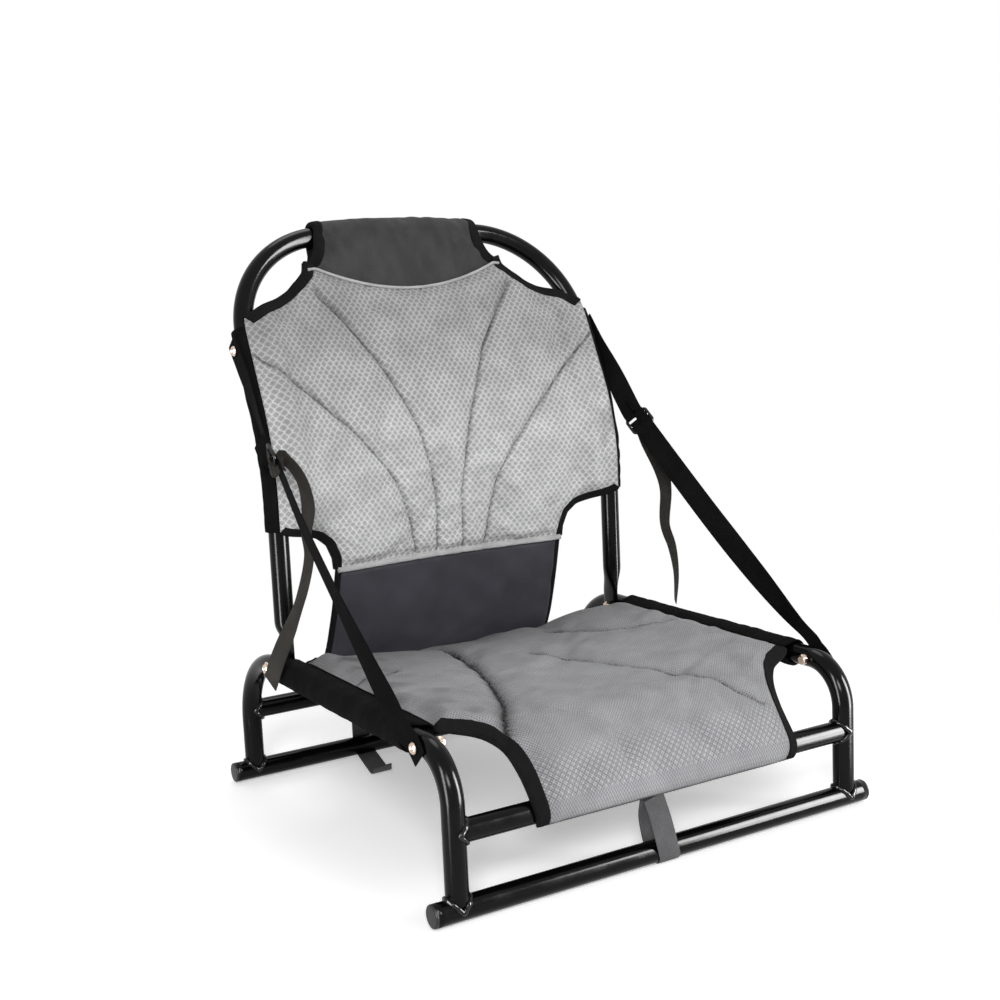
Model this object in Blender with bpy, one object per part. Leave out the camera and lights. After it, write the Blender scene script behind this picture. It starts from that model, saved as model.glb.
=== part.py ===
import bpy
import bmesh
import numpy as np
from math import pi, sin, cos, tan, radians
from mathutils import Matrix

for old in list(bpy.data.objects):
    bpy.data.objects.remove(old, do_unlink=True)

# Tubes
TUBE_R = 0.011
WALL = 0.0015
BORE_R = TUBE_R - WALL
GAP = 0.0003
TUBE_SIDES = 14

# Base frame
FRONT_Y = -0.2475
BASE_DEPTH = 0.478
REAR_Y = FRONT_Y + BASE_DEPTH
FOOT_LENGTH = 0.52
RAIL_X = FOOT_LENGTH / 2 - 0.027
RAIL_Z = 0.152
FRONT_BEND = 0.045
REAR_BEND = 0.080
CROSS_Z = 0.083
LOOP_T = 0.0009
FOOT_Z = LOOP_T + GAP + TUBE_R
PLUG_DEPTH = 0.014
PLUG_FACE = 0.0025

# Back frame
PIVOT_Y = REAR_Y - 0.089
BACK_X = RAIL_X - 0.012
KINK_Z = 0.386
BACK_TOP_Z = 0.622
LEAN = radians(24.8)
BACK_TOP_Y = PIVOT_Y + (BACK_TOP_Z - KINK_Z) * tan(LEAN)
KINK_R = 0.255
CORNER_R = 0.125
TAB_BELOW = 0.013
TAB_HALF_T = 0.0023
TAB_HALF_W = 0.0145
TAB_SLIT = 0.0005
TAB_END = 0.018
TAPER_END = 0.050

# Fasteners
BOLT_R = 0.003
HEAD_R = 0.0058
HEAD_H = 0.0036
NUT_R = 0.0058
NUT_H = 0.006
WASHER_R = 0.0078
WASHER_T = 0.0012
STRAP_BOLT_Y = FRONT_Y + 0.043
SCREW_Z = BACK_TOP_Z - 0.124

# Cloth
CLOTH = 0.002
PAD = 0.014
PIPING_R = 0.0022
STRAP_W = 0.025
STRAP_T = 0.0015
LOOP_W = 0.024

BLACK = (0.012, 0.012, 0.013)
MESH_GREY = (0.42, 0.42, 0.43)
SEAT_GREY = (0.27, 0.27, 0.28)
CHARCOAL = (0.035, 0.035, 0.037)
SLATE = (0.048, 0.048, 0.058)
STEEL = (0.62, 0.50, 0.42)


def material(name, colour, rough, metal=0.0):
    made = bpy.data.materials.new(name)
    made.use_nodes = True
    shader = made.node_tree.nodes["Principled BSDF"]
    shader.inputs["Base Color"].default_value = (*colour, 1.0)
    shader.inputs["Roughness"].default_value = rough
    shader.inputs["Metallic"].default_value = metal
    return made


def add(name, points, faces, colour, rough, metal=0.0):
    mesh = bpy.data.meshes.new(name)
    mesh.from_pydata([tuple(map(float, p)) for p in points], [], faces)
    bm = bmesh.new()
    bm.from_mesh(mesh)
    bmesh.ops.recalc_face_normals(bm, faces=bm.faces)
    bm.to_mesh(mesh)
    bm.free()
    mesh.materials.append(material(name, colour, rough, metal))
    thing = bpy.data.objects.new(name, mesh)
    bpy.context.collection.objects.link(thing)
    return thing


def cutAway(thing, cutter, name):
    cutter.hide_render = True
    cutter.display_type = "WIRE"
    hole = thing.modifiers.new(name, "BOOLEAN")
    hole.operation = "DIFFERENCE"
    hole.solver = "EXACT"
    hole.object = cutter


# Corner list rounded with one radius per inner corner
def roundedPath(corners, radii, step=radians(11)):
    corners = [np.array(c, float) for c in corners]
    path = [corners[0]]
    for before, corner, after, radius in zip(corners, corners[1:], corners[2:], radii):
        into = (corner - before) / np.linalg.norm(corner - before)
        out = (after - corner) / np.linalg.norm(after - corner)
        turn = np.arccos(np.clip(into @ out, -1, 1))
        reach = radius * tan(turn / 2)
        side = out - into * (into @ out)
        side /= np.linalg.norm(side)
        start = corner - into * reach
        centre = start + side * radius
        count = max(2, int(round(turn / step)))
        for i in range(count + 1):
            a = turn * i / count
            path.append(centre - side * radius * cos(a) + into * radius * sin(a))
    path.append(corners[-1])
    return np.array(path)


# Side direction square to the path at each of its points
def pathFrames(path, hint):
    ahead = np.gradient(path, axis=0)
    for i in range(len(path)):
        low, high = max(i - 1, 0), min(i + 1, len(path) - 1)
        ahead[i] = path[high] - path[low]
    ahead /= np.linalg.norm(ahead, axis=1)[:, None]
    side = np.array(hint, float) - ahead * (ahead @ np.array(hint, float))[:, None]
    side /= np.linalg.norm(side, axis=1)[:, None]
    return side, np.cross(ahead, side)


# Rings of an outer and an inner wall joined into a tube that is open at both ends
def wallFaces(rings, sides):
    faces = []
    block = rings * sides
    for i in range(rings - 1):
        for j in range(sides):
            k = (j + 1) % sides
            a, b, c, d = i * sides + j, i * sides + k, (i + 1) * sides + k, (i + 1) * sides + j
            faces.append((a, b, c, d))
            faces.append((block + d, block + c, block + b, block + a))
    for i in (0, rings - 1):
        for j in range(sides):
            k = (j + 1) % sides
            faces.append((i * sides + j, i * sides + k, block + i * sides + k, block + i * sides + j))
    return faces


def tube(name, path, hint, outer, inner, ends=None):
    side, up = pathFrames(path, hint)
    rings, sides = len(path), TUBE_SIDES
    outer = np.broadcast_to(np.array(outer, float), (rings, 2))
    inner = np.broadcast_to(np.array(inner, float), (rings, 2))
    angle = (np.arange(sides) + 0.5) * 2 * pi / sides
    walls = []
    for size in (outer, inner):
        ring = path[:, None, :] + side[:, None, :] * (size[:, 0:1] * np.cos(angle))[:, :, None]
        ring = ring + up[:, None, :] * (size[:, 1:2] * np.sin(angle))[:, :, None]
        if ends:
            ring = ends(ring)
        walls.append(ring)
    points = np.concatenate([w.reshape(-1, 3) for w in walls])
    return add(name, points, wallFaces(rings, sides), BLACK, 0.32, 0.35)


def cylinder(name, start, end, radius, sides=20, colour=BLACK, rough=0.4, metal=0.0):
    return turned(name, start, end, [(0.0, radius), (1.0, radius)], sides, colour, rough, metal)


# Solid of turned rings: each ring is a fraction of the way along and a radius
def turned(name, start, end, rings, sides=20, colour=BLACK, rough=0.4, metal=0.0):
    start, end = np.array(start, float), np.array(end, float)
    ahead = (end - start) / np.linalg.norm(end - start)
    hint = np.array((0, 0, 1.0)) if abs(ahead[2]) < 0.9 else np.array((0, 1.0, 0))
    side = np.cross(hint, ahead)
    side /= np.linalg.norm(side)
    up = np.cross(ahead, side)
    points, faces = [], []
    for share, radius in rings:
        centre = start + (end - start) * share
        for j in range(sides):
            a = 2 * pi * (j + 0.5) / sides
            points.append(centre + radius * (side * cos(a) + up * sin(a)))
    for i in range(len(rings) - 1):
        for j in range(sides):
            k = (j + 1) % sides
            faces.append((i * sides + j, i * sides + k, (i + 1) * sides + k, (i + 1) * sides + j))
    faces.append(tuple(range(sides)))
    last = (len(rings) - 1) * sides
    faces.append(tuple(last + j for j in range(sides)))
    return add(name, points, faces, colour, rough, metal)


# Two grids of equal shape, a front and a rear skin, closed round their rim
def cloth(name, front, rear, colour, rough):
    rows, cols = front.shape[:2]
    block = rows * cols
    points = np.concatenate([front.reshape(-1, 3), rear.reshape(-1, 3)])
    faces = []
    for i in range(rows - 1):
        for j in range(cols - 1):
            a, b = i * cols + j, i * cols + j + 1
            c, d = b + cols, a + cols
            faces.append((a, b, c, d))
            faces.append((block + d, block + c, block + b, block + a))
    rim = [j for j in range(cols)]
    rim += [i * cols + cols - 1 for i in range(1, rows)]
    rim += [(rows - 1) * cols + j for j in range(cols - 2, -1, -1)]
    rim += [i * cols for i in range(rows - 2, 0, -1)]
    for a, b in zip(rim, rim[1:] + rim[:1]):
        faces.append((a, b, block + b, block + a))
    return add(name, points, faces, colour, rough)


# Flat webbing of one width carried along a path, its width kept near one direction
def webbing(name, path, wide, width, thick, colour=BLACK, rough=0.85):
    path = np.array(path, float)
    across, side = pathFrames(path, wide)
    front = np.stack([path + side * thick / 2 + across * width * s for s in (-0.5, 0.5)], 1)
    rear = np.stack([path - side * thick / 2 + across * width * s for s in (-0.5, 0.5)], 1)
    return cloth(name, front, rear, colour, rough)


# The frame

# Centre line of a leg at a height: straight up, then forward round its bend
def legY(foot, z):
    if foot == FRONT_Y:
        return np.full(np.shape(z), FRONT_Y)
    rise = np.maximum(z - RAIL_Z + REAR_BEND, 0)
    return REAR_Y - REAR_BEND + np.sqrt(REAR_BEND ** 2 - rise ** 2)


def legEnds(rings):
    reach = TUBE_R + GAP
    rings = rings.copy()
    for i, foot in ((0, FRONT_Y), (-1, REAR_Y)):
        rings[i, :, 2] = FOOT_Z + np.sqrt(reach ** 2 - (rings[i, :, 1] - foot) ** 2)
    return rings


def sideFrame(name, sign):
    low = FOOT_Z + 0.02
    path = roundedPath(
        [(sign * RAIL_X, FRONT_Y, low), (sign * RAIL_X, FRONT_Y, RAIL_Z),
         (sign * RAIL_X, REAR_Y, RAIL_Z), (sign * RAIL_X, REAR_Y, low)],
        [FRONT_BEND, REAR_BEND], radians(9))
    rail = tube(name, path, (1, 0, 0), (TUBE_R, TUBE_R), (BORE_R, BORE_R), ends=legEnds)
    for y, tag in ((PIVOT_Y, "pivot"), (STRAP_BOLT_Y, "strap")):
        drill = cylinder(
            name + "_" + tag + "_drill", (sign * (RAIL_X - 0.02), y, RAIL_Z),
            (sign * (RAIL_X + 0.02), y, RAIL_Z), BOLT_R + GAP, 16)
        cutAway(rail, drill, tag)
    return rail


def footTube(name, y):
    half = FOOT_LENGTH / 2 - PLUG_FACE - GAP
    path = np.array([(-half, y, FOOT_Z), (half, y, FOOT_Z)])
    return tube(name, path, (0, 0, 1), (TUBE_R, TUBE_R), (BORE_R, BORE_R))


def crossTube(name, foot):
    reach = TUBE_R + 2 * GAP
    y = float(legY(foot, CROSS_Z))

    def coped(rings):
        rings = rings.copy()
        for i, sign in ((0, -1), (-1, 1)):
            off = rings[i, :, 1] - legY(foot, rings[i, :, 2])
            rings[i, :, 0] = sign * (RAIL_X - np.sqrt(np.maximum(reach ** 2 - off ** 2, 0)))
        return rings
    half = RAIL_X - 0.03
    path = np.array([(-half, y, CROSS_Z), (half, y, CROSS_Z)])
    return tube(name, path, (0, 0, 1), (TUBE_R, TUBE_R), (BORE_R, BORE_R), ends=coped)


def footPlug(name, sign, y):
    out = FOOT_LENGTH / 2
    face = PLUG_FACE / (PLUG_FACE + PLUG_DEPTH)
    shank = BORE_R - GAP
    return turned(
        name, (sign * out, y, FOOT_Z), (sign * (out - PLUG_FACE - PLUG_DEPTH), y, FOOT_Z),
        [(0.0, TUBE_R - 0.0012), (face * 0.45, TUBE_R), (face, TUBE_R), (face, shank), (1.0, shank - 0.0006)],
        16, BLACK, 0.5)


# The back tube is flattened at both ends into a tab with a slit left between its walls
def backFrame():
    spacer = GAP + WASHER_T + GAP
    tabX = RAIL_X - TUBE_R - spacer - TAB_HALF_T
    foot = RAIL_Z - TAB_BELOW
    kink = (BACK_X, PIVOT_Y, KINK_Z)
    top = (BACK_X, BACK_TOP_Y, BACK_TOP_Z)
    half = [(BACK_X, PIVOT_Y, foot), kink, top]
    corners = half + [(-x, y, z) for x, y, z in half[::-1]]
    path = roundedPath(corners, [KINK_R, CORNER_R, CORNER_R, KINK_R], radians(9))
    extra = [RAIL_Z + TAB_END + (TAPER_END - TAB_END) * s for s in (0, 0.25, 0.5, 0.75, 1.0)]
    right = [np.array((BACK_X, PIVOT_Y, z)) for z in [RAIL_Z + 0.002] + extra]
    left = [p * np.array((-1, 1, 1)) for p in right[::-1]]
    path = np.concatenate([path[:1], right, path[1:-1], left, path[-1:]])
    rise = np.clip((path[:, 2] - RAIL_Z - TAB_END) / (TAPER_END - TAB_END), 0, 1)
    rise = rise * rise * (3 - 2 * rise)
    thick = TAB_HALF_T + (TUBE_R - TAB_HALF_T) * rise
    wide = TAB_HALF_W + (TUBE_R - TAB_HALF_W) * rise
    thickIn = TAB_SLIT + (BORE_R - TAB_SLIT) * rise
    wideIn = TAB_HALF_W - WALL + (BORE_R - TAB_HALF_W + WALL) * rise
    outer = np.stack([wide, thick], 1)
    inner = np.stack([wideIn, thickIn], 1)
    path[:, 0] += np.sign(path[:, 0]) * (tabX - BACK_X) * (1 - rise)
    frame = tube("back_frame", path, (0, 1, 0), outer, inner)
    for sign in (-1, 1):
        tag = "left" if sign < 0 else "right"
        drill = cylinder(
            "back_drill_" + tag, (sign * (tabX - 0.01), PIVOT_Y, RAIL_Z),
            (sign * (tabX + 0.01), PIVOT_Y, RAIL_Z), BOLT_R + 0.0001, 20)
        cutAway(frame, drill, "pivot_" + tag)
        y = backY(SCREW_Z)
        hole = cylinder(
            "screw_drill_" + tag, (sign * BACK_X, y, SCREW_Z),
            (sign * (BACK_X + 0.03), y, SCREW_Z), BOLT_R + GAP, 16)
        cutAway(frame, hole, "screw_" + tag)
    return frame


# Height of the back tube's centre line turned into its y
def backY(z):
    reach = KINK_R * tan(LEAN / 2)
    z = np.asarray(z, float)
    low, high = KINK_Z - reach, KINK_Z + reach * cos(LEAN)
    bend = PIVOT_Y + KINK_R - np.sqrt(np.maximum(KINK_R ** 2 - np.maximum(z - low, 0) ** 2, 0))
    return np.where(z < low, PIVOT_Y, np.where(z < high, bend, PIVOT_Y + (z - KINK_Z) * tan(LEAN)))


# Direction out of the back's front face at a height
def backFace(z):
    reach = KINK_R * tan(LEAN / 2)
    tilt = np.clip((np.asarray(z, float) - KINK_Z + reach) / (reach * (1 + cos(LEAN))), 0, 1) * LEAN
    return -np.cos(tilt), np.sin(tilt)


# Fasteners

def bolt(name, sign, y, z, outside, inside):
    grip = outside - inside
    total = grip + HEAD_H
    return turned(
        name, (sign * (outside + HEAD_H), y, z), (sign * inside, y, z),
        [(0.0, HEAD_R * 0.5), (HEAD_H * 0.3 / total, HEAD_R * 0.85), (HEAD_H * 0.75 / total, HEAD_R),
         (HEAD_H / total, HEAD_R), (HEAD_H / total, BOLT_R), (1.0, BOLT_R)],
        16, STEEL, 0.3, 1.0)


# Ring about the bolt line, round or with six flats
def ringPiece(name, sign, y, z, start, thick, radius, hole, colour=STEEL, metal=1.0, flats=False):
    sides = 24 if flats else 18
    points, faces = [], []
    for x in (start, start + thick):
        for r in (radius, hole):
            for j in range(sides):
                a = 2 * pi * j / sides
                size = r * cos(pi / 6) / cos((a + pi / 6) % (pi / 3) - pi / 6) if flats and r == radius else r
                points.append((sign * x, y + size * cos(a), z + size * sin(a)))
    for j in range(sides):
        k = (j + 1) % sides
        a, b, c, d = j, k, sides + k, sides + j
        e, f, g, h = [2 * sides + v for v in (j, k)] + [3 * sides + k, 3 * sides + j]
        faces += [(a, b, c, d), (e, f, g, h), (a, b, f, e), (d, c, g, h)]
    return add(name, points, faces, colour, 0.35, metal)


def pivotSet(tag, sign):
    face = RAIL_X + TUBE_R
    tabIn = RAIL_X - TUBE_R - GAP - WASHER_T - GAP - 2 * TAB_HALF_T
    nutIn = tabIn - GAP - NUT_H
    ringPiece(tag + "_pivot_washer", sign, PIVOT_Y, RAIL_Z, face + GAP, WASHER_T, WASHER_R, BOLT_R + GAP)
    bolt(tag + "_pivot_bolt", sign, PIVOT_Y, RAIL_Z, face + WASHER_T + 2 * GAP, nutIn + 0.0005)
    ringPiece(tag + "_pivot_spacer", sign, PIVOT_Y, RAIL_Z, RAIL_X - TUBE_R - GAP - WASHER_T,
              WASHER_T, WASHER_R, BOLT_R + GAP, BLACK, 0.0)
    ringPiece(tag + "_pivot_nut", sign, PIVOT_Y, RAIL_Z, nutIn, NUT_H, NUT_R, BOLT_R + 0.0001, flats=True)


def strapBoltSet(tag, sign):
    face = RAIL_X + TUBE_R + GAP + STRAP_T + GAP
    nutIn = RAIL_X - TUBE_R - GAP - NUT_H
    bolt(tag + "_strap_bolt", sign, STRAP_BOLT_Y, RAIL_Z, face, nutIn + 0.0005)
    ringPiece(tag + "_strap_nut", sign, STRAP_BOLT_Y, RAIL_Z, nutIn, NUT_H, NUT_R, BOLT_R + 0.0001, flats=True)


def strapScrew(tag, sign):
    face = BACK_X + WRAP_R + CLOTH + GAP + STRAP_T + GAP
    bolt(tag + "_strap_screw", sign, float(backY(SCREW_Z)), SCREW_Z, face, BACK_X + 0.002)


# Back upholstery: half widths measured along the cloth from the middle

PAD_TOP = BACK_TOP_Z - 0.065
BACK_LOW = RAIL_Z + 0.097
PAD_HEIGHT = PAD_TOP - BACK_LOW
CORNER_Z = BACK_TOP_Z - CORNER_R * cos(LEAN)
WRAP_R = TUBE_R + 0.0009
WRAP_START = 0.5
WRAP_END = -0.25
FLAT_HALF = BACK_X - WRAP_R * sin(WRAP_START) - 0.0018
PAD_FULL = FLAT_HALF + (WRAP_START - WRAP_END) * WRAP_R
LOW_HALF = BACK_X - 0.069
HEAD_TOP = BACK_X - CORNER_R + 0.011
HEAD_SPREAD = 0.025
HEAD_LOW = HEAD_TOP + HEAD_SPREAD

# Cut-outs of the pad: level between its two edges, share of the way from the narrow edge to the tubes
LOW_CUT = [(0.0, 0.0), (0.042, 0.02), (0.094, 0.13), (0.127, 0.33), (0.148, 0.68), (0.159, 0.99)]
TOP_CUT = [(0.891, 0.99), (0.906, 0.87), (0.925, 0.63), (0.948, 0.37), (0.974, 0.16), (1.0, 0.0)]
SIDE_FROM = 0.172
SIDE_TO = 0.878
WIDTHS = [(level, LOW_HALF + (FLAT_HALF - LOW_HALF) * share) for level, share in LOW_CUT]
WIDTHS += [(SIDE_FROM, PAD_FULL), (SIDE_TO, PAD_FULL)]
WIDTHS += [(level, HEAD_LOW + (FLAT_HALF - HEAD_LOW) * share) for level, share in TOP_CUT]

# Fan seams: level, share of the half width
SEAM_IN = [(0.0, 0.080), (0.198, 0.080), (0.325, 0.103), (0.494, 0.159), (0.607, 0.234),
           (0.760, 0.342), (0.890, 0.478), (1.0, 0.614)]
SEAM_OUT = [(0.0, 0.211), (0.166, 0.258), (0.270, 0.309), (0.377, 0.403), (0.507, 0.571),
            (0.643, 0.796), (0.770, 1.040), (0.880, 1.218)]
SIDE_ROWS = [SIDE_FROM, 0.224, 0.289, 0.354, 0.419, 0.484, 0.549, 0.614, 0.679, 0.744, 0.808, SIDE_TO]
BACK_ROWS = [level for level, share in LOW_CUT] + SIDE_ROWS + [level for level, share in TOP_CUT]
CROWN = 0.025
CROWN_HALF = HEAD_LOW - 0.013
CROWN_FROM = 0.685


def heightAt(level):
    return BACK_LOW + PAD_HEIGHT * np.asarray(level, float)


def levelAt(z):
    return (np.asarray(z, float) - BACK_LOW) / PAD_HEIGHT


# Rise of the pad's rows towards the sides, nothing low down and full at its top edge
def crownAt(s, z):
    share = np.clip((levelAt(z) - CROWN_FROM) / (1 - CROWN_FROM), 0, 1) ** 2
    return CROWN * share * np.minimum(np.abs(s) / CROWN_HALF, 1) ** 2


def table(pairs, at):
    pairs = np.array(pairs)
    return np.interp(at, pairs[:, 0], pairs[:, 1])


# Half distance between the back tubes' centre lines at a height
def backX(z):
    rise = np.maximum(np.asarray(z, float) - CORNER_Z, 0) / cos(LEAN)
    return BACK_X - CORNER_R + np.sqrt(np.maximum(CORNER_R ** 2 - rise ** 2, 0))


SLING_SAG = [(0.0, 0.024), (0.263, 0.022), (0.653, 0.012), (1.14, 0.004)]


# How far the sling hangs behind the tubes' plane, zero at the tubes
def sag(s, z):
    share = np.clip(1 - (s / FLAT_HALF) ** 2, 0, 1)
    return share * table(SLING_SAG, levelAt(z))


# Point at a distance out of the back's plane
def offBack(x, z, out):
    ny, nz = backFace(z)
    return np.stack([x, backY(z) + ny * out, z + nz * out], -1)


# Pad skin: flat and sagging between the tubes, then round the front of each tube
def backPoint(s, z, lift):
    sign = np.where(s < 0, -1.0, 1.0)
    a = np.abs(s)
    reach = WRAP_R + lift
    ease = np.clip((a - FLAT_HALF + 0.04) / 0.034, 0, 1)
    ease = ease * ease * (3 - 2 * ease)
    angle = WRAP_START - np.maximum(a - FLAT_HALF, 0) / WRAP_R
    wrapped = a > FLAT_HALF
    shift = (backX(z) - reach * sin(WRAP_START) - FLAT_HALF) * np.clip((a - 0.15) / (FLAT_HALF - 0.15), 0, 1)
    x = np.where(wrapped, backX(z) - reach * np.sin(angle), a + shift)
    out = np.where(wrapped, reach * np.cos(angle), reach * cos(WRAP_START) * ease + lift * (1 - ease))
    return offBack(sign * x, z, out - sag(a, z))


# Columns follow the four seams, so each seam is a grid line
def backColumns(level, width):
    edge = min(FLAT_HALF, width - 0.006)
    outer = min(FLAT_HALF * float(table(SEAM_OUT, level)), edge - 0.008)
    inner = min(FLAT_HALF * float(table(SEAM_IN, level)), outer - 0.02)
    gap = outer - inner
    return np.array([
        0.0, 0.5 * inner, inner, inner + 0.25 * gap, inner + 0.5 * gap, inner + 0.75 * gap, outer,
        outer + 0.5 * (edge - outer), edge, edge + 0.5 * (width - edge), width])


# Full between the seams, drawn in at them and thin where it wraps the tubes
SHARES = [0.95, 0.9, 0.42, 0.9, 1.0, 0.9, 0.42, 0.9, 0.5, 0.35, 0.2]
SEAM_AT = 6


# The outer seams run out into the side edges, so their groove fades there
def padShares(level, width):
    shares = list(SHARES)
    room = width - 0.010 - FLAT_HALF * float(table(SEAM_OUT, level))
    fade = 1 - np.clip(room / 0.016, 0, 1)
    shares[SEAM_AT] += (shares[SEAM_AT + 1] - 0.1 - shares[SEAM_AT]) * fade
    return np.array(shares[:0:-1] + shares)


def backPad():
    front, rear = [], []
    for n, level in enumerate(BACK_ROWS):
        z = float(heightAt(level))
        width = float(table(WIDTHS, level))
        knots = backColumns(level, width)
        s = np.concatenate([-knots[:0:-1], knots])
        height = z + crownAt(s, z)
        share = padShares(level, width)
        full = width > FLAT_HALF
        thick = PAD * share
        if n in (0, len(BACK_ROWS) - 1):
            thick = np.minimum(thick, PAD * 0.35)
        if full:
            thick = np.where(np.abs(s) > FLAT_HALF - 0.001, CLOTH, thick)
        rear.append(backPoint(s, height, 0.0))
        front.append(backPoint(s, height, np.maximum(thick, CLOTH)))
    return cloth("back_pad", np.array(front), np.array(rear), MESH_GREY, 0.9)


# The lining lies behind the pad and wraps the outer and rear side of both tubes
def backLining():
    away = radians(50)
    inside, outside = [], []
    for z in heightAt(SIDE_ROWS):
        centre = float(backX(z))
        flat = np.linspace(0, centre - WRAP_R * sin(away) - 0.012, 9)
        for lift, skins in ((0.0, inside), (CLOTH, outside)):
            reach = WRAP_R + lift
            x = list(flat)
            out = list(-sag(flat * 0.99, z) - 2 * GAP - lift)
            for k in range(12):
                turn = -away + (away + pi - 0.32) * k / 11
                x.append(centre + reach * sin(turn))
                out.append(-reach * cos(turn))
            x, out = np.array(x), np.array(out)
            x = np.concatenate([-x[:0:-1], x])
            out = np.concatenate([out[:0:-1], out])
            skins.append(offBack(x, np.full(len(x), z), out))
    lining = cloth("back_lining", np.array(inside), np.array(outside), BLACK, 0.9)
    for sign in (-1, 1):
        tag = "left" if sign < 0 else "right"
        y = float(backY(SCREW_Z))
        drill = cylinder(
            tag + "_lining_drill", (sign * (BACK_X + 0.005), y, SCREW_Z),
            (sign * (BACK_X + 0.02), y, SCREW_Z), BOLT_R + GAP, 16)
        cutAway(lining, drill, tag)
    return lining


# The head sleeve goes up the front, over the top tube and down behind
def headSleeve():
    low = PAD_TOP + 0.0030
    drop = (BACK_TOP_Z - low) / cos(LEAN)
    skins = []
    for lift in (0.0, 0.0035):
        rise, out = [], []
        for share in (0.0, 0.25, 0.5, 0.75):
            rise.append(-drop * (1 - share))
            out.append(0.0008 * (1 - share) + WRAP_R * share + lift)
        for k in range(10):
            rise.append((WRAP_R + lift) * sin(pi * k / 9))
            out.append((WRAP_R + lift) * cos(pi * k / 9))
        for share in (0.75, 0.5, 0.25, 0.0):
            rise.append(-drop * (1 - share))
            out.append(-WRAP_R * share - 0.0012 * (1 - share) - lift)
        rise, out = np.array(rise)[:, None], np.array(out)[:, None]
        level = np.clip(1 + rise / drop, 0, 1)
        cols = np.array([0.0, 0.17, 0.34, 0.5, 0.64, 0.78, CROWN_HALF / HEAD_LOW, 1.0])
        cols = np.concatenate([-cols[:0:-1], cols])
        x = cols[None, :] * (HEAD_LOW - HEAD_SPREAD * level ** 0.6)
        rise = rise + crownAt(x, PAD_TOP) / cos(LEAN) * np.clip(1 - level * 1.4, 0, 1)
        out = out - sag(x, low) * (1 - level)
        y = BACK_TOP_Y + rise * sin(LEAN) - out * cos(LEAN)
        z = BACK_TOP_Z + rise * cos(LEAN) + out * sin(LEAN)
        skins.append(np.stack([x + 0 * y, y, z], -1))
    return cloth("head_sleeve", skins[1], skins[0], CHARCOAL, 0.85)


# Thin round cord sewn along an edge
def piping(name, line, colour):
    side, up = pathFrames(line, (0, 0.3, 1))
    sides = 8
    angle = np.arange(sides) * 2 * pi / sides
    rings = line[:, None, :] + PIPING_R * (
        side[:, None, :] * np.cos(angle)[None, :, None] + up[:, None, :] * np.sin(angle)[None, :, None])
    faces = []
    for i in range(len(line) - 1):
        for j in range(sides):
            k = (j + 1) % sides
            faces.append((i * sides + j, i * sides + k, (i + 1) * sides + k, (i + 1) * sides + j))
    faces.append(tuple(range(sides)))
    faces.append(tuple((len(line) - 1) * sides + j for j in range(sides)))
    return add(name, rings.reshape(-1, 3), faces, colour, 0.7)


def pipings():
    s = np.linspace(-LOW_HALF + 0.002, LOW_HALF - 0.002, 13)
    lift = PAD * 0.35 + GAP + PIPING_R
    lower = backPoint(s, np.full(13, BACK_LOW - 0.001), lift + 0.0006)
    piping("lumbar_piping", lower, MESH_GREY)
    s = np.linspace(-HEAD_LOW + 0.002, HEAD_LOW - 0.002, 13)
    upper = backPoint(s, PAD_TOP + 0.0012 + crownAt(s, PAD_TOP), lift + 0.0012)
    piping("head_piping", upper, MESH_GREY)


# Dish of the seat sling: deepest between the rails, nothing over the cross tubes
SEAT_SAG = 0.025
SEAT_HALF = RAIL_X - TUBE_R - 0.009
SAG_RUN = 0.100


def seatSag(x, y):
    share = np.clip(np.minimum(y - FRONT_Y, REAR_Y - 0.008 - y) / SAG_RUN, 0, 1)
    share = share * share * (3 - 2 * share)
    return SEAT_SAG * share * np.clip(1 - (x / SEAT_HALF) ** 2, 0, 1)


# The lumbar panel hangs from the pad's lower edge and leans back to the seat's rear flap
LUMBAR = [(0.0, 0.0, 0.0), (0.30, 0.41, 0.2), (0.65, 0.76, 0.6), (1.0, 1.0, 1.0)]
LUMBAR_T = 0.006
LUMBAR_TOP = BACK_LOW - 0.0005
LUMBAR_LOW = RAIL_Z - 0.018
LUMBAR_Y = REAR_Y - 0.049
LUMBAR_SPREAD = 0.005
LUMBAR_ROWS = 7


def lumbarPanel():
    front, rear = [], []
    across = np.linspace(-1, 1, 13)
    for n in range(LUMBAR_ROWS):
        share = n / (LUMBAR_ROWS - 1)
        back, down, wider = [np.interp(share * 3, range(4), column) for column in zip(*LUMBAR)]
        x = across * (LOW_HALF - 0.002 + LUMBAR_SPREAD * wider)
        flatten = 1 - 0.75 * share
        y = PIVOT_Y + (LUMBAR_Y - PIVOT_Y) * back
        y = y + sag(x, BACK_LOW) * flatten + SLING_SAG[0][1] * 0.9 * (1 - flatten)
        z = LUMBAR_TOP - (LUMBAR_TOP - LUMBAR_LOW + seatSag(x, LUMBAR_Y)) * down
        thick = LUMBAR_T * (0.55 if share in (0, 1) else 1.0) * np.where(np.abs(across) > 0.99, 0.45, 1.0)
        rear.append(np.stack([x, y, z], -1))
        front.append(np.stack([x, y - thick * 0.93, z - thick * 0.3], -1))
    return cloth("lumbar_panel", np.array(front), np.array(rear), SLATE, 0.75)


# Seat sling's underside. Wrap rows: angle about a cross tube, distance beyond its wrap, inset, thickness
FRONT_WRAP = [(-121, 0.0, 0.081, 0.002), (-152, 0.0, 0.080, 0.003), (178, 0.0, 0.079, 0.006),
              (142, 0.0002, 0.078, 0.009)]
REAR_WRAP = [(130, -0.0002, 0.080, 0.003), (87, 0.0002, 0.080, 0.002), (43, 0.0006, 0.080, 0.002),
             (3, 0.0008, 0.080, 0.002), (-41, 0.0011, 0.080, 0.002)]
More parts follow.
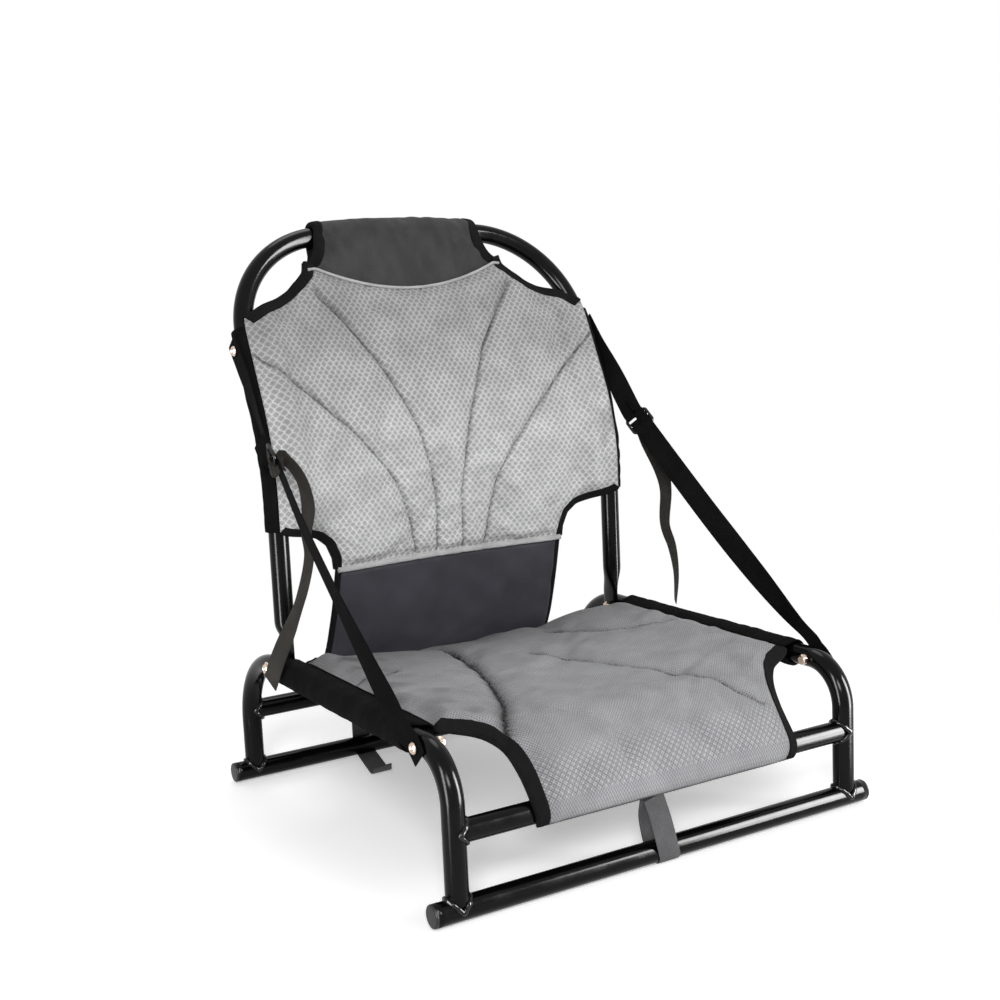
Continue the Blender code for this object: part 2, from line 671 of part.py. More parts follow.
# Slope rows: distance from the end tube, share of the rise from cross tube to rails, inset, thickness
FRONT_SLOPE = [(-0.0020, 0.261, 0.078, 0.012), (0.0120, 0.507, 0.077, 0.014), (0.0280, 0.783, 0.072, 0.014),
               (0.0420, 0.957, 0.060, 0.014), (0.0530, 1.036, 0.043, 0.013), (0.0620, 1.072, 0.020, 0.012)]
REAR_SLOPE = [(0.1240, 1.072, 0.020, 0.012), (0.1140, 1.043, 0.037, 0.013), (0.1010, 0.986, 0.055, 0.013),
              (0.0830, 0.870, 0.067, 0.013), (0.0580, 0.667, 0.075, 0.012), (0.0330, 0.420, 0.078, 0.010),
              (0.0160, 0.232, 0.079, 0.006)]
TOP_RISE = 1.094
TOP_SHARES = [(0.08, 0.013), (0.20, 0.014), (0.35, 0.014), (0.51, 0.014), (0.66, 0.014), (0.81, 0.014),
              (0.93, 0.013)]
# Curved side seams of the seat: share of the depth, share of the half width
SEAT_SEAM = [(0.130, 0.803), (0.161, 0.737), (0.220, 0.653), (0.293, 0.559), (0.377, 0.469),
             (0.460, 0.423), (0.540, 0.376), (0.586, 0.399), (0.628, 0.460)]
SLEEVE_FRONT = FRONT_Y + 0.070
SLEEVE_REAR = REAR_Y - 0.112


# Rows of y, height, half width and thickness from under the front cross tube to behind the rear one
def seatRows():
    def wrapped(foot, rows):
        axis = float(legY(foot, CROSS_Z))
        return [(axis + (WRAP_R + more) * cos(radians(a)), CROSS_Z + (WRAP_R + more) * sin(radians(a)),
                 RAIL_X - inset, thick) for a, more, inset, thick in rows]

    def rise(share):
        return CROSS_Z + (RAIL_Z - CROSS_Z) * share
    start, stop = FRONT_Y + FRONT_SLOPE[-1][0], REAR_Y - REAR_SLOPE[0][0]
    rows = wrapped(FRONT_Y, FRONT_WRAP)
    rows += [(FRONT_Y + y, rise(share), RAIL_X - inset, thick) for y, share, inset, thick in FRONT_SLOPE]
    rows += [(start + (stop - start) * share, rise(TOP_RISE), SEAT_HALF, thick) for share, thick in TOP_SHARES]
    rows += [(REAR_Y - y, rise(share), RAIL_X - inset, thick) for y, share, inset, thick in REAR_SLOPE]
    return rows + wrapped(REAR_Y, REAR_WRAP)


# Pad thickness drawn in at the two curved seams and thin at its side edges
def seatPad():
    rows = seatRows()
    line = np.array([(y, z) for y, z, half, thick in rows])
    ahead = np.gradient(line, axis=0)
    ahead /= np.linalg.norm(ahead, axis=1)[:, None]
    up = np.stack([-ahead[:, 1], ahead[:, 0]], 1)
    front, rear = [], []
    for (y, z, half, thick), normal in zip(rows, up):
        depth = (y - FRONT_Y) / BASE_DEPTH
        inSeam = SEAT_SEAM[0][0] <= depth <= SEAT_SEAM[-1][0]
        seam = SEAT_HALF * float(table(SEAT_SEAM, depth)) if inSeam else half * 0.52
        seam = min(seam, half - 0.03)
        knots = np.array([0.0, 0.3 * seam, 0.65 * seam, 0.88 * seam, seam, seam + 0.22 * (half - seam),
                          seam + 0.55 * (half - seam), seam + 0.85 * (half - seam), half])
        x = np.concatenate([-knots[:0:-1], knots])
        share = [1.0, 1.0, 0.98, 0.85, 0.55 if inSeam else 0.97, 0.85 if inSeam else 0.95, 0.9, 0.75, 0.38]
        share = np.array(share[:0:-1] + share)
        lift = np.maximum(thick * share, min(thick, CLOTH))
        sunk = z - seatSag(x, y)
        rear.append(np.stack([x, y + 0 * x, sunk], -1))
        front.append(np.stack([x, y + normal[0] * lift, sunk + normal[1] * lift], -1))
    return cloth("seat_pad", np.array(front), np.array(rear), SEAT_GREY, 0.85)


# The seat lining runs under the pad, round both rails and back up to the pad's edges
def seatLining():
    line = seatRows()
    rows = SLEEVE_FRONT + (SLEEVE_REAR - SLEEVE_FRONT) * np.array([0, 0.05, 0.2, 0.4, 0.61, 0.78, 0.9, 0.96, 1])
    heights = np.interp(rows, [row[0] for row in line], [row[1] for row in line]) - 2 * GAP
    skins = []
    for lift in (0.0, CLOTH):
        reach = WRAP_R + lift
        grid = []
        for y, under in zip(rows, heights):
            x = list((SEAT_HALF - 0.010) * np.array([0, 0.25, 0.5, 0.75, 1]))
            z = [under - lift - GAP * 3 * v / SEAT_HALF - seatSag(v, y) for v in x]
            for k in range(13):
                turn = radians(-62 + 250 * k / 12)
                x.append(RAIL_X + reach * sin(turn))
                z.append(RAIL_Z - reach * cos(turn))
            x.append(SEAT_HALF + 0.0035)
            z.append(RAIL_Z + WRAP_R - 0.0034 + lift)
            x = np.array([-v for v in x[:0:-1]] + x)
            z = np.array(z[:0:-1] + z)
            grid.append(np.stack([x, y + 0 * x, z], -1))
        skins.append(np.array(grid))
    return cloth("seat_lining", skins[0], skins[1], BLACK, 0.9)


# Straps

BUCKLE_SHARE = 0.764
BUCKLE_DROP = 0.0305
BUCKLE_Y = STRAP_BOLT_Y + (float(backY(SCREW_Z)) - STRAP_BOLT_Y) * BUCKLE_SHARE
BUCKLE_Z = RAIL_Z + (SCREW_Z - RAIL_Z) * BUCKLE_SHARE - BUCKLE_DROP
BUCKLE_X = (RAIL_X + BACK_X) / 2 + TUBE_R + CLOTH
BUCKLE_W = 0.031
BAR = 0.0035
SLOT = 0.007
BUCKLE_T = 0.003
STRAP_RUN = np.array((BUCKLE_Y - STRAP_BOLT_Y, BUCKLE_Z - RAIL_Z))
STRAP_DIR = STRAP_RUN / np.hypot(*STRAP_RUN)
STRAP_WIDE = (0, -STRAP_DIR[1], STRAP_DIR[0])
BED = BUCKLE_T / 2 + GAP + STRAP_T / 2


# Point from the buckle's centre: along the strap, out along x
def buckleLine(sign, points):
    return np.array([
        (sign * (BUCKLE_X + out), BUCKLE_Y + STRAP_DIR[0] * along, BUCKLE_Z + STRAP_DIR[1] * along)
        for along, out in points])


def ladderLock(name, sign):
    alongs = [-1.5 * BAR - SLOT, -0.5 * BAR - SLOT, -0.5 * BAR, 0.5 * BAR, 0.5 * BAR + SLOT, 1.5 * BAR + SLOT]
    acrosses = [-BUCKLE_W / 2, -STRAP_W / 2 - 0.0006, STRAP_W / 2 + 0.0006, BUCKLE_W / 2]
    solid = [[not (j == 1 and i in (1, 3)) for j in range(3)] for i in range(5)]
    points, faces, index = [], [], {}

    def corner(i, j, k):
        if (i, j, k) not in index:
            index[(i, j, k)] = len(points)
            u, v = alongs[i], acrosses[j]
            points.append((
                sign * (BUCKLE_X + (k - 0.5) * BUCKLE_T), BUCKLE_Y + STRAP_DIR[0] * u - STRAP_DIR[1] * v,
                BUCKLE_Z + STRAP_DIR[1] * u + STRAP_DIR[0] * v))
        return index[(i, j, k)]

    def filled(i, j):
        return 0 <= i < 5 and 0 <= j < 3 and solid[i][j]
    for i in range(5):
        for j in range(3):
            if not solid[i][j]:
                continue
            for k in (0, 1):
                faces.append(tuple(corner(a, b, k) for a, b in ((i, j), (i + 1, j), (i + 1, j + 1), (i, j + 1))))
            for di, dj, a, b in ((-1, 0, (i, j), (i, j + 1)), (1, 0, (i + 1, j), (i + 1, j + 1)),
                                 (0, -1, (i, j), (i + 1, j)), (0, 1, (i, j + 1), (i + 1, j + 1))):
                if not filled(i + di, j + dj):
                    faces.append((corner(*a, 0), corner(*b, 0), corner(*b, 1), corner(*a, 1)))
    return add(name, points, faces, BLACK, 0.45)


def upperStrap(tag, sign):
    topBar = BAR + SLOT
    turn = [(topBar - BAR * 0.3 - BED * sin(pi * k / 6), -BED * cos(pi * k / 6)) for k in range(7)]
    lower = [(topBar + 0.012, -BED)] + turn + [(topBar + 0.010, BED), (topBar + 0.022, BED - 0.0008)]
    lower = buckleLine(sign, lower)
    screwY = float(backY(SCREW_Z))
    flush = BACK_X + WRAP_R + CLOTH + GAP + STRAP_T / 2
    upper = np.array([
        (sign * flush, screwY + 0.0085, SCREW_Z + 0.0105), (sign * flush, screwY, SCREW_Z),
        (sign * flush, screwY - 0.010, SCREW_Z - 0.012), (sign * (flush + 0.0004), screwY - 0.035, SCREW_Z - 0.042)])
    strap = webbing(tag + "_upper_strap", np.concatenate([upper, lower]), STRAP_WIDE, STRAP_W, STRAP_T)
    drill = cylinder(
        tag + "_upper_strap_drill", (sign * (flush - 0.01), screwY, SCREW_Z),
        (sign * (flush + 0.01), screwY, SCREW_Z), BOLT_R + GAP, 16)
    cutAway(strap, drill, "screw")
    return strap


def mainStrap(tag, sign):
    reach = BUCKLE_Y - STRAP_BOLT_Y
    flush = RAIL_X + TUBE_R + GAP + STRAP_T / 2
    over = RAIL_X + WRAP_R + CLOTH + GAP + STRAP_T / 2
    slope = (BUCKLE_Z - RAIL_Z) / reach
    path = [(sign * flush, STRAP_BOLT_Y - 0.012, RAIL_Z - 0.010), (sign * flush, STRAP_BOLT_Y, RAIL_Z),
            (sign * flush, STRAP_BOLT_Y + 0.006, RAIL_Z + 0.006 * slope),
            (sign * over, STRAP_BOLT_Y + 0.020, RAIL_Z + 0.020 * slope)]
    for share in (0.2, 0.4, 0.6, 0.8):
        path.append((sign * (over + (BUCKLE_X - BED - over) * share), STRAP_BOLT_Y + reach * share * 0.95,
                     RAIL_Z + reach * slope * share * 0.95 - 0.006 * sin(pi * share)))
    turn = [(BAR * 0.3 + BED * sin(pi * k / 6), -BED * cos(pi * k / 6)) for k in range(7)]
    loop = [(-0.018, -BED), (-0.008, -BED)] + turn + [(-0.008, BED + 0.0003), (-0.017, BED + 0.003)]
    path = np.concatenate([np.array(path), buckleLine(sign, loop)])
    end = path[-1]
    tail = [end + np.array((sign * o, y, -z)) for o, y, z in (
        (0.004, -0.010, 0.016), (0.007, -0.012, 0.035), (0.008, -0.010, 0.060), (0.006, -0.012, 0.090),
        (0.004, -0.008, 0.120), (0.005, -0.010, 0.150), (0.005, -0.008, 0.180), (0.006, -0.010, 0.205))]
    path = np.concatenate([path, np.array(tail)])
    strap = webbing(tag + "_main_strap", path, STRAP_WIDE, STRAP_W, STRAP_T)
    drill = cylinder(
        tag + "_main_strap_drill", (sign * (flush - 0.01), STRAP_BOLT_Y, RAIL_Z),
        (sign * (flush + 0.01), STRAP_BOLT_Y, RAIL_Z), BOLT_R + GAP, 16)
    cutAway(strap, drill, "bolt")
    return strap


# Webbing loops that hold the frame down
LOOP_REACH = TUBE_R + GAP + LOOP_T / 2
LOOP_TOP = CROSS_Z - TUBE_R - 0.0015
LOOP_WAIST = (FOOT_Z + CROSS_Z) / 2 - 0.0025


def frontHoldDown():
    path = [(-0.0085, LOOP_TOP), (-LOOP_REACH, LOOP_WAIST)]
    path += [(-LOOP_REACH * cos(pi * k / 10), FOOT_Z - LOOP_REACH * sin(pi * k / 10)) for k in range(11)]
    path += [(0.0085, LOOP_WAIST), (-0.0035, LOOP_TOP)]
    path = [(-0.012, FRONT_Y + y, z) for y, z in path]
    return webbing("front_hold_down_strap", path, (1, 0, 0), LOOP_W, LOOP_T, BLACK)


def rearHoldDown():
    path = [(0.0095, LOOP_TOP), (LOOP_REACH, LOOP_WAIST)]
    path += [(LOOP_REACH * cos(pi * k / 10), FOOT_Z - LOOP_REACH * sin(pi * k / 10)) for k in range(6)]
    path += [(-0.020, LOOP_T / 2), (-0.045, LOOP_T / 2), (-0.062, LOOP_T), (-0.070, 5 * LOOP_T)]
    path = [(-0.085, REAR_Y + y, z) for y, z in path]
    return webbing("rear_hold_down_strap", path, (1, 0, 0), LOOP_W, LOOP_T, BLACK)


# The back's pieces hang on an empty on the pivot line, so turning it folds the back
def hangBack():
    axis = bpy.data.objects.new("back_fold_axis", None)
    axis.location = (0, PIVOT_Y, RAIL_Z)
    bpy.context.collection.objects.link(axis)
    turning = ("back_", "head_", "lumbar_piping", "screw_", "left_upper", "right_upper", "left_lining",
               "right_lining", "left_ladder", "right_ladder", "left_strap_screw", "right_strap_screw")
    for thing in list(bpy.data.objects):
        if thing != axis and thing.name.startswith(turning):
            thing.parent = axis
            thing.matrix_parent_inverse = Matrix.Translation((0, -PIVOT_Y, -RAIL_Z))


for side, sign in (("left", -1), ("right", 1)):
    sideFrame(side + "_side_frame", sign)
    footPlug("front_" + side + "_foot_plug", sign, FRONT_Y)
    footPlug("rear_" + side + "_foot_plug", sign, REAR_Y)
    pivotSet(side, sign)
    strapBoltSet(side, sign)
    strapScrew(side, sign)
    upperStrap(side, sign)
    mainStrap(side, sign)
    ladderLock(side + "_ladder_lock", sign)
for end, y in (("front", FRONT_Y), ("rear", REAR_Y)):
    footTube(end + "_foot_tube", y)
    crossTube(end + "_cross_tube", y)
backFrame()
backPad()
backLining()
headSleeve()
pipings()
lumbarPanel()
seatPad()
seatLining()
frontHoldDown()
rearHoldDown()
hangBack()
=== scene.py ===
from math import cos, sin, tan, pi, radians, sqrt
import bpy
import numpy as np
from mathutils import Matrix


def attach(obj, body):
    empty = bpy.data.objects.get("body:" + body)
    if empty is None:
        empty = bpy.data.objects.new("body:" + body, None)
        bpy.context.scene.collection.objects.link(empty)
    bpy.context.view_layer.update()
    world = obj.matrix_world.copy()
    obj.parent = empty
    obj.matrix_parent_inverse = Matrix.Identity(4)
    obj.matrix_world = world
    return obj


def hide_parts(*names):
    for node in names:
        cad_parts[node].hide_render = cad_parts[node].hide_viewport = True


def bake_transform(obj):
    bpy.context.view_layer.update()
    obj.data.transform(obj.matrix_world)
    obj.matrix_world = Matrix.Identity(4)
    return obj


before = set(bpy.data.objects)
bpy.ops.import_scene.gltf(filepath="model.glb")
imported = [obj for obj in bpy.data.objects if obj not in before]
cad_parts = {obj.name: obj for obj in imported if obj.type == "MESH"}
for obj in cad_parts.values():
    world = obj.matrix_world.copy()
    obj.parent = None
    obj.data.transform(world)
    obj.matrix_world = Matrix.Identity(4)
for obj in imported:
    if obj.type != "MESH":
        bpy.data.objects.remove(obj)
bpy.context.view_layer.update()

# Sizes shared by the pieces, in metres
frameSize = {
    "tube": 0.011, "frontY": -0.2475, "rearY": 0.2305, "railX": 0.233, "railZ": 0.152,
    "frontBend": 0.045, "rearBend": 0.080, "crossZ": 0.083, "footZ": 0.0122, "footHalf": 0.26,
    "pivotY": 0.1415, "backX": 0.221, "kinkZ": 0.386, "topZ": 0.622, "lean": radians(24.8),
    "kinkR": 0.255, "cornerR": 0.125, "strapBoltY": -0.2045, "screwZ": 0.498}
tubeR, frontY, rearY = frameSize["tube"], frameSize["frontY"], frameSize["rearY"]
railX, railZ, crossZ, footZ = (frameSize[k] for k in ("railX", "railZ", "crossZ", "footZ"))
pivotY, backTubeX, kinkZ, topZ = (frameSize[k] for k in ("pivotY", "backX", "kinkZ", "topZ"))
lean, kinkR, cornerR = frameSize["lean"], frameSize["kinkR"], frameSize["cornerR"]
topY = pivotY + (topZ - kinkZ) * tan(lean)
sides = (("left", -1), ("right", 1))


# Shapes on grids

# Quads between neighbouring points of a rows x cols grid, as point numbers and as grid places for the UVs
def gridQuads(rows, cols, wrapAcross=False, wrapAlong=False):
    i, j = np.meshgrid(np.arange(rows if wrapAlong else rows - 1), np.arange(cols if wrapAcross else cols - 1),
                       indexing="ij")
    corners = [(i, j), (i, j + 1), (i + 1, j + 1), (i + 1, j)]
    quads = np.stack([(a % rows) * cols + b % cols for a, b in corners], -1).reshape(-1, 4)
    places = np.stack([np.stack(c, -1) for c in corners], -2).reshape(-1, 4, 2)
    return quads, places


# One mesh object from whole arrays. Closed shapes are turned outward by the sign of their volume
def addMesh(name, points, quads, quadUv, caps=(), closed=True, smooth=True):
    points = np.asarray(points, float).reshape(-1, 3)
    quads = np.asarray(quads)
    if closed:
        a, b, c, d = (points[quads[:, k]] for k in range(4))
        volume = (a * np.cross(b, c)).sum() + (a * np.cross(c, d)).sum()
        if volume < 0:
            quads, quadUv = quads[:, ::-1], quadUv[:, ::-1]
            caps = [cap[::-1] for cap in caps]
    corners = np.concatenate([quads.ravel()] + [np.asarray(cap) for cap in caps]).astype(np.int32)
    counts = np.array([4] * len(quads) + [len(cap) for cap in caps])
    mesh = bpy.data.meshes.new(name)
    mesh.vertices.add(len(points))
    mesh.vertices.foreach_set("co", points.astype(np.float32).ravel())
    mesh.loops.add(len(corners))
    mesh.loops.foreach_set("vertex_index", corners)
    mesh.polygons.add(len(counts))
    mesh.polygons.foreach_set("loop_start", np.concatenate([[0], np.cumsum(counts)[:-1]]).astype(np.int32))
    mesh.polygons.foreach_set("use_smooth", np.full(len(counts), smooth))
    uv = np.concatenate([np.asarray(quadUv, float).reshape(-1, 2)] + [points[np.asarray(cap)][:, 1:] for cap in caps])
    mesh.uv_layers.new(name="UVMap").data.foreach_set("uv", uv.astype(np.float32).ravel())
    mesh.update(calc_edges=True)
    mesh.validate()
    thing = bpy.data.objects.new(name, mesh)
    bpy.context.collection.objects.link(thing)
    return thing


# Distance travelled from a line's first point to each of its points
def alongPath(path):
    return np.concatenate([[0], np.cumsum(np.linalg.norm(np.diff(path, axis=0), axis=1))])


# Same directions with a length of 1
def unit(arrows):
    return arrows / np.linalg.norm(arrows, axis=-1, keepdims=True)


# Unit direction of a line at each of its points
def headings(path):
    return unit(np.gradient(path, axis=0))


# Same line with its points at an even step
def evenly(path, step):
    path = np.asarray(path, float)
    along = alongPath(path)
    at = np.linspace(0, along[-1], max(2, int(round(along[-1] / step)) + 1))
    return np.stack([np.interp(at, along, path[:, k]) for k in range(path.shape[1])], 1)


# Smooth line through points: each stretch is a cubic whose ends head along their neighbours' chord
def curveThrough(points, step):
    p = np.asarray(points, float)
    p = np.concatenate([2 * p[:1] - p[1:2], p, 2 * p[-1:] - p[-2:-1]])
    t = np.linspace(0, 1, 24, endpoint=False)[:, None]
    parts = [0.5 * (2 * b + (c - a) * t + (2 * a - 5 * b + 4 * c - d) * t ** 2 + (3 * b - a - 3 * c + d) * t ** 3)
             for a, b, c, d in zip(p, p[1:], p[2:], p[3:])]
    return evenly(np.concatenate(parts + [p[-2:-1]]), step)


# Straight runs joined by arcs of one radius for each inner corner
def bentLine(corners, radii, step=radians(4)):
    corners = [np.array(c, float) for c in corners]
    line = [corners[0]]
    for before, corner, after, radius in zip(corners, corners[1:], corners[2:], radii):
        into = (corner - before) / np.linalg.norm(corner - before)
        out = (after - corner) / np.linalg.norm(after - corner)
        turn = np.arccos(np.clip(into @ out, -1, 1))
        inward = out - into * (into @ out)
        inward /= np.linalg.norm(inward)
        centre = corner - into * radius * tan(turn / 2) + inward * radius
        for a in np.linspace(0, turn, max(3, int(turn / step))):
            line.append(centre - inward * radius * cos(a) + into * radius * sin(a))
    return np.array(line + [corners[-1]])


# Unit directions square to a line: the hint made square to it, and the third one
def squareTo(path, hint):
    ahead = headings(path)
    hint = np.broadcast_to(np.asarray(hint, float), path.shape)
    side = unit(hint - ahead * (ahead * hint).sum(1)[:, None])
    return side, np.cross(ahead, side)


# Cross-section ring of unit half sizes: a circle at power 2, squarer as the power grows
def ringShape(count, power=2.0):
    a = np.arange(count) * 2 * pi / count
    c, s = np.cos(a), np.sin(a)
    return np.stack([np.sign(c) * np.abs(c) ** (2 / power), np.sign(s) * np.abs(s) ** (2 / power)], 1)


# Ring points round each point of a line: the unit ring times its two half sizes, along the two square directions
def ringsRound(path, side, up, ring, wide, thick):
    return (path[:, None] + side[:, None] * (wide * ring[:, 0])[..., None]
            + up[:, None] * (thick * ring[:, 1])[..., None])


# Point numbers of the first and last ring of a tube made of rings
def endCaps(rows, cols):
    return [list(range(cols))[::-1], list(range((rows - 1) * cols, rows * cols))]


# Ring carried along a line, with its two half sizes given at each point of the line
def swept(name, path, hint, ring, wide, thick):
    side, up = squareTo(path, hint)
    wide = np.broadcast_to(np.asarray(wide, float), len(path))[:, None]
    thick = np.broadcast_to(np.asarray(thick, float), len(path))[:, None]
    points = ringsRound(path, side, up, ring, wide, thick)
    rows, cols = points.shape[:2]
    quads, places = gridQuads(rows, cols, wrapAcross=True)
    girth = alongPath(np.concatenate([ring, ring[:1]]) * (wide.mean(), thick.mean()))
    uv = np.stack([girth[places[..., 1]], alongPath(path)[places[..., 0]]], -1)
    return addMesh(name, points, quads, uv, endCaps(rows, cols))


# Two skins of equal grids closed round their rim. The UV grid is in metres of cloth
def slab(name, front, rear, uv):
    rows, cols = front.shape[:2]
    quads, places = gridQuads(rows, cols)
    block = rows * cols
    number = np.arange(block).reshape(rows, cols)
    rim = np.concatenate([number[0], number[1:, -1], number[-1, -2::-1], number[-2:0:-1, 0]])
    after = np.roll(rim, -1)
    rimQuads = np.stack([after, rim, rim + block, after + block], -1)
    flatUv = uv.reshape(-1, 2)
    rimUv = flatUv[np.stack([after, rim, rim, after], -1)]
    skin = uv[places[..., 0], places[..., 1]]
    return addMesh(name, np.concatenate([front.reshape(-1, 3), rear.reshape(-1, 3)]),
                   np.concatenate([quads, quads[:, ::-1] + block, rimQuads]),
                   np.concatenate([skin, skin[:, ::-1], rimUv]))


# Profile of (distance along x, radius) turned about a line along x, with an optional six-sided inner end
def turnedX(name, x, y, z, sign, profile, count=40, hexFrom=None):
    profile = np.array(profile, float)
    a = np.arange(count) * 2 * pi / count
    radius = np.repeat(profile[:, 1:2], count, 1)
    if hexFrom is not None:
        flat = cos(pi / 6) / np.cos((a + pi / 6) % (pi / 3) - pi / 6)
        radius[hexFrom:] = radius[hexFrom:] * flat
    points = np.stack([np.broadcast_to(sign * (x + profile[:, :1]), radius.shape), y + radius * np.cos(a),
                       z + radius * np.sin(a)], -1)
    rows = len(profile)
    quads, places = gridQuads(rows, count, wrapAcross=True)
    uv = np.stack([places[..., 1] * 2 * pi * profile[:, 1].max() / count, alongPath(profile)[places[..., 0]]], -1)
    return addMesh(name, points, quads, uv, endCaps(rows, count))


# Smooth bumps: seeded sine waves in all directions, added up
def ripple(u, v, seed, size, waves=10):
    rng = np.random.default_rng(seed)
    total = 0
    for k in range(waves):
        turn, length = rng.uniform(0, 2 * pi), size * rng.uniform(0.6, 1.7)
        total = total + np.sin(2 * pi * (u * cos(turn) + v * sin(turn)) / length + rng.uniform(0, 2 * pi))
    return total / sqrt(waves)


# 0 below 0 and 1 above 1, with an S-shaped rise between them
def smoothStep(t):
    t = np.clip(t, 0, 1)
    return t * t * (3 - 2 * t)


# 1 on a line, falling off with the distance from it like a bell
def near(away, size, power=2):
    return np.exp(-(away / size) ** power)


lineStep = 0.002


# Distance from each (u, v) to a polyline, and how far along it the nearest point is
def toLine(u, v, line):
    line = evenly(line, lineStep)
    away = np.full(u.shape, 1.0)
    along = np.zeros(u.shape)
    for k, (a, b) in enumerate(line):
        d = np.hypot(u - a, v - b)
        nearer = d < away
        away = np.where(nearer, d, away)
        along = np.where(nearer, k * lineStep, along)
    return away, along


# Distance from each (u, v) to the nearest of several polylines
def awayFrom(u, v, lines):
    return np.min([toLine(u, v, line)[0] for line in lines], axis=0)


# A pad's painted shade, darkening it where it is creased or sewn down and on its shaded sides, and its second
# material on all but the front skin
def dressPad(thing, crease, behind):
    values = np.concatenate([crease.ravel(), np.zeros(crease.size)]).astype(np.float32)
    thing.data.attributes.new("crease", "FLOAT", "POINT").data.foreach_set("value", values)
    number = np.zeros(len(thing.data.polygons), np.int32)
    number[(crease.shape[0] - 1) * (crease.shape[1] - 1):] = 1
    thing.data.materials.append(behind)
    thing.data.polygons.foreach_set("material_index", number)


# Material and the CAD nodes that a piece stands for, which are hidden. slotName is not used
def dress(thing, slotName, material, *nodes):
    thing.data.materials.append(material)
    if nodes:
        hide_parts(*nodes)
    return thing


# The same for a piece that rides on one body
def finish(thing, body, slotName, material, *nodes):
    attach(thing, body)
    return dress(thing, slotName, material, *nodes)


# Materials

# Principled material with its gloss, metal, sheen and IOR set straight on the sockets
def newMaterial(name, roughness, metallic=0.0, sheen=0.0, shine=0.5, ior=1.45):
    made = bpy.data.materials.new(name)
    made.use_nodes = True
    tree = made.node_tree
    shader = tree.nodes["Principled BSDF"]
    shader.inputs["Roughness"].default_value = roughness
    shader.inputs["Metallic"].default_value = metallic
    shader.inputs["Sheen Weight"].default_value = sheen
    shader.inputs["Sheen Roughness"].default_value = 0.5
    shader.inputs["Specular IOR Level"].default_value = shine
    shader.inputs["IOR"].default_value = ior
    return made, tree, shader


# Links an output to a socket, or sets the socket to a value
def wire(tree, value, socket):
    if isinstance(value, bpy.types.NodeSocket):
        tree.links.new(value, socket)
    else:
        socket.default_value = value


# One Math node: the operation on its inputs
def maths(tree, operation, *values):
    node = tree.nodes.new("ShaderNodeMath")
    node.operation = operation
    for value, socket in zip(values, node.inputs):
        wire(tree, value, socket)
    return node.outputs[0]


# Product of two values
def times(tree, first, second):
    return maths(tree, "MULTIPLY", first, second)


# One Vector Math node
def vectors(tree, operation, *values):
    node = tree.nodes.new("ShaderNodeVectorMath")
    node.operation = operation
    for value, socket in zip(values, node.inputs):
        wire(tree, value, socket)
    return node.outputs["Value" if operation in ("LENGTH", "DOT_PRODUCT") else "Vector"]


# Colour or vector times one factor
def scaled(tree, colour, factor):
    node = tree.nodes.new("ShaderNodeVectorMath")
    node.operation = "SCALE"
    wire(tree, colour, node.inputs[0])
    wire(tree, factor, node.inputs["Scale"])
    return node.outputs[0]


# First two parts of a vector
def splitXY(tree, vector):
    node = tree.nodes.new("ShaderNodeSeparateXYZ")
    wire(tree, vector, node.inputs[0])
    return node.outputs[0], node.outputs[1]


# First colour at a share of 0, second at 1
def mixColour(tree, share, first, second):
    node = tree.nodes.new("ShaderNodeMix")
    node.data_type = "RGBA"
    wire(tree, share, node.inputs[0])
    wire(tree, first, node.inputs[6])
    wire(tree, second, node.inputs[7])
    return node.outputs[2]


# Value carried from low..high to start..stop with an S-shaped rise
def spread(tree, value, low, high, start, stop):
    node = tree.nodes.new("ShaderNodeMapRange")
    node.interpolation_type = "SMOOTHSTEP"
    for given, socket in zip((value, low, high, start, stop), node.inputs):
        wire(tree, given, socket)
    return node.outputs[0]


# Noise at a scale in waves per metre: output 0 is a value, output 1 a colour
def noise(tree, where, scale, detail=3.0, rough=0.55, output=0):
    node = tree.nodes.new("ShaderNodeTexNoise")
    wire(tree, where, node.inputs["Vector"])
    node.inputs["Scale"].default_value = scale
    node.inputs["Detail"].default_value = detail
    node.inputs["Roughness"].default_value = rough
    return node.outputs[output]


# Normal bent by a height in metres times a strength
def bump(tree, height, distance, strength):
    node = tree.nodes.new("ShaderNodeBump")
    node.inputs["Distance"].default_value = distance
    node.inputs["Strength"].default_value = strength
    wire(tree, height, node.inputs["Height"])
    return node.outputs[0]


# Object or UV coordinates
def coordinates(tree, output):
    return tree.nodes.new("ShaderNodeTexCoord").outputs[output]


# Grey with a little red or blue added
def grey(level, warm=0.0, cool=0.0):
    return (level + warm, level, level + cool, 1.0)


# Satin black paint: a faint orange-peel bump and slightly uneven gloss
paintLook = {"colour": (0.0016, 0.0015, 0.0015, 1), "dust": grey(0.004), "rough": (0.12, 0.20), "peel": 900,
             "ior": 1.22}
weldLook = {"colour": grey(0.006), "dust": grey(0.012), "rough": (0.10, 0.18), "peel": 500, "ior": 1.34,
            "bead": 0.0026, "ripples": 12, "swell": 0.08}


def paintMaterial(name, look):
    made, tree, shader = newMaterial(name, 0.20, ior=look["ior"])
    place = coordinates(tree, "Object")
    patch = noise(tree, place, 35)
    wire(tree, spread(tree, patch, 0.35, 0.65, *look["rough"]), shader.inputs["Roughness"])
    dust = spread(tree, noise(tree, place, 160, 4), 0.55, 0.8, 0.0, 0.35)
    wire(tree, mixColour(tree, dust, look["colour"], look["dust"]), shader.inputs["Base Color"])
    wire(tree, bump(tree, noise(tree, place, look["peel"], 2), 0.0002, 0.12), shader.inputs["Normal"])
    return made


# What a piece's own crease attribute of painted shade leaves of its colour, which is all of it on pieces without one
def creaseShade(tree):
    node = tree.nodes.new("ShaderNodeAttribute")
    node.attribute_name = "crease"
    return maths(tree, "SUBTRACT", 1.0, node.outputs["Fac"])
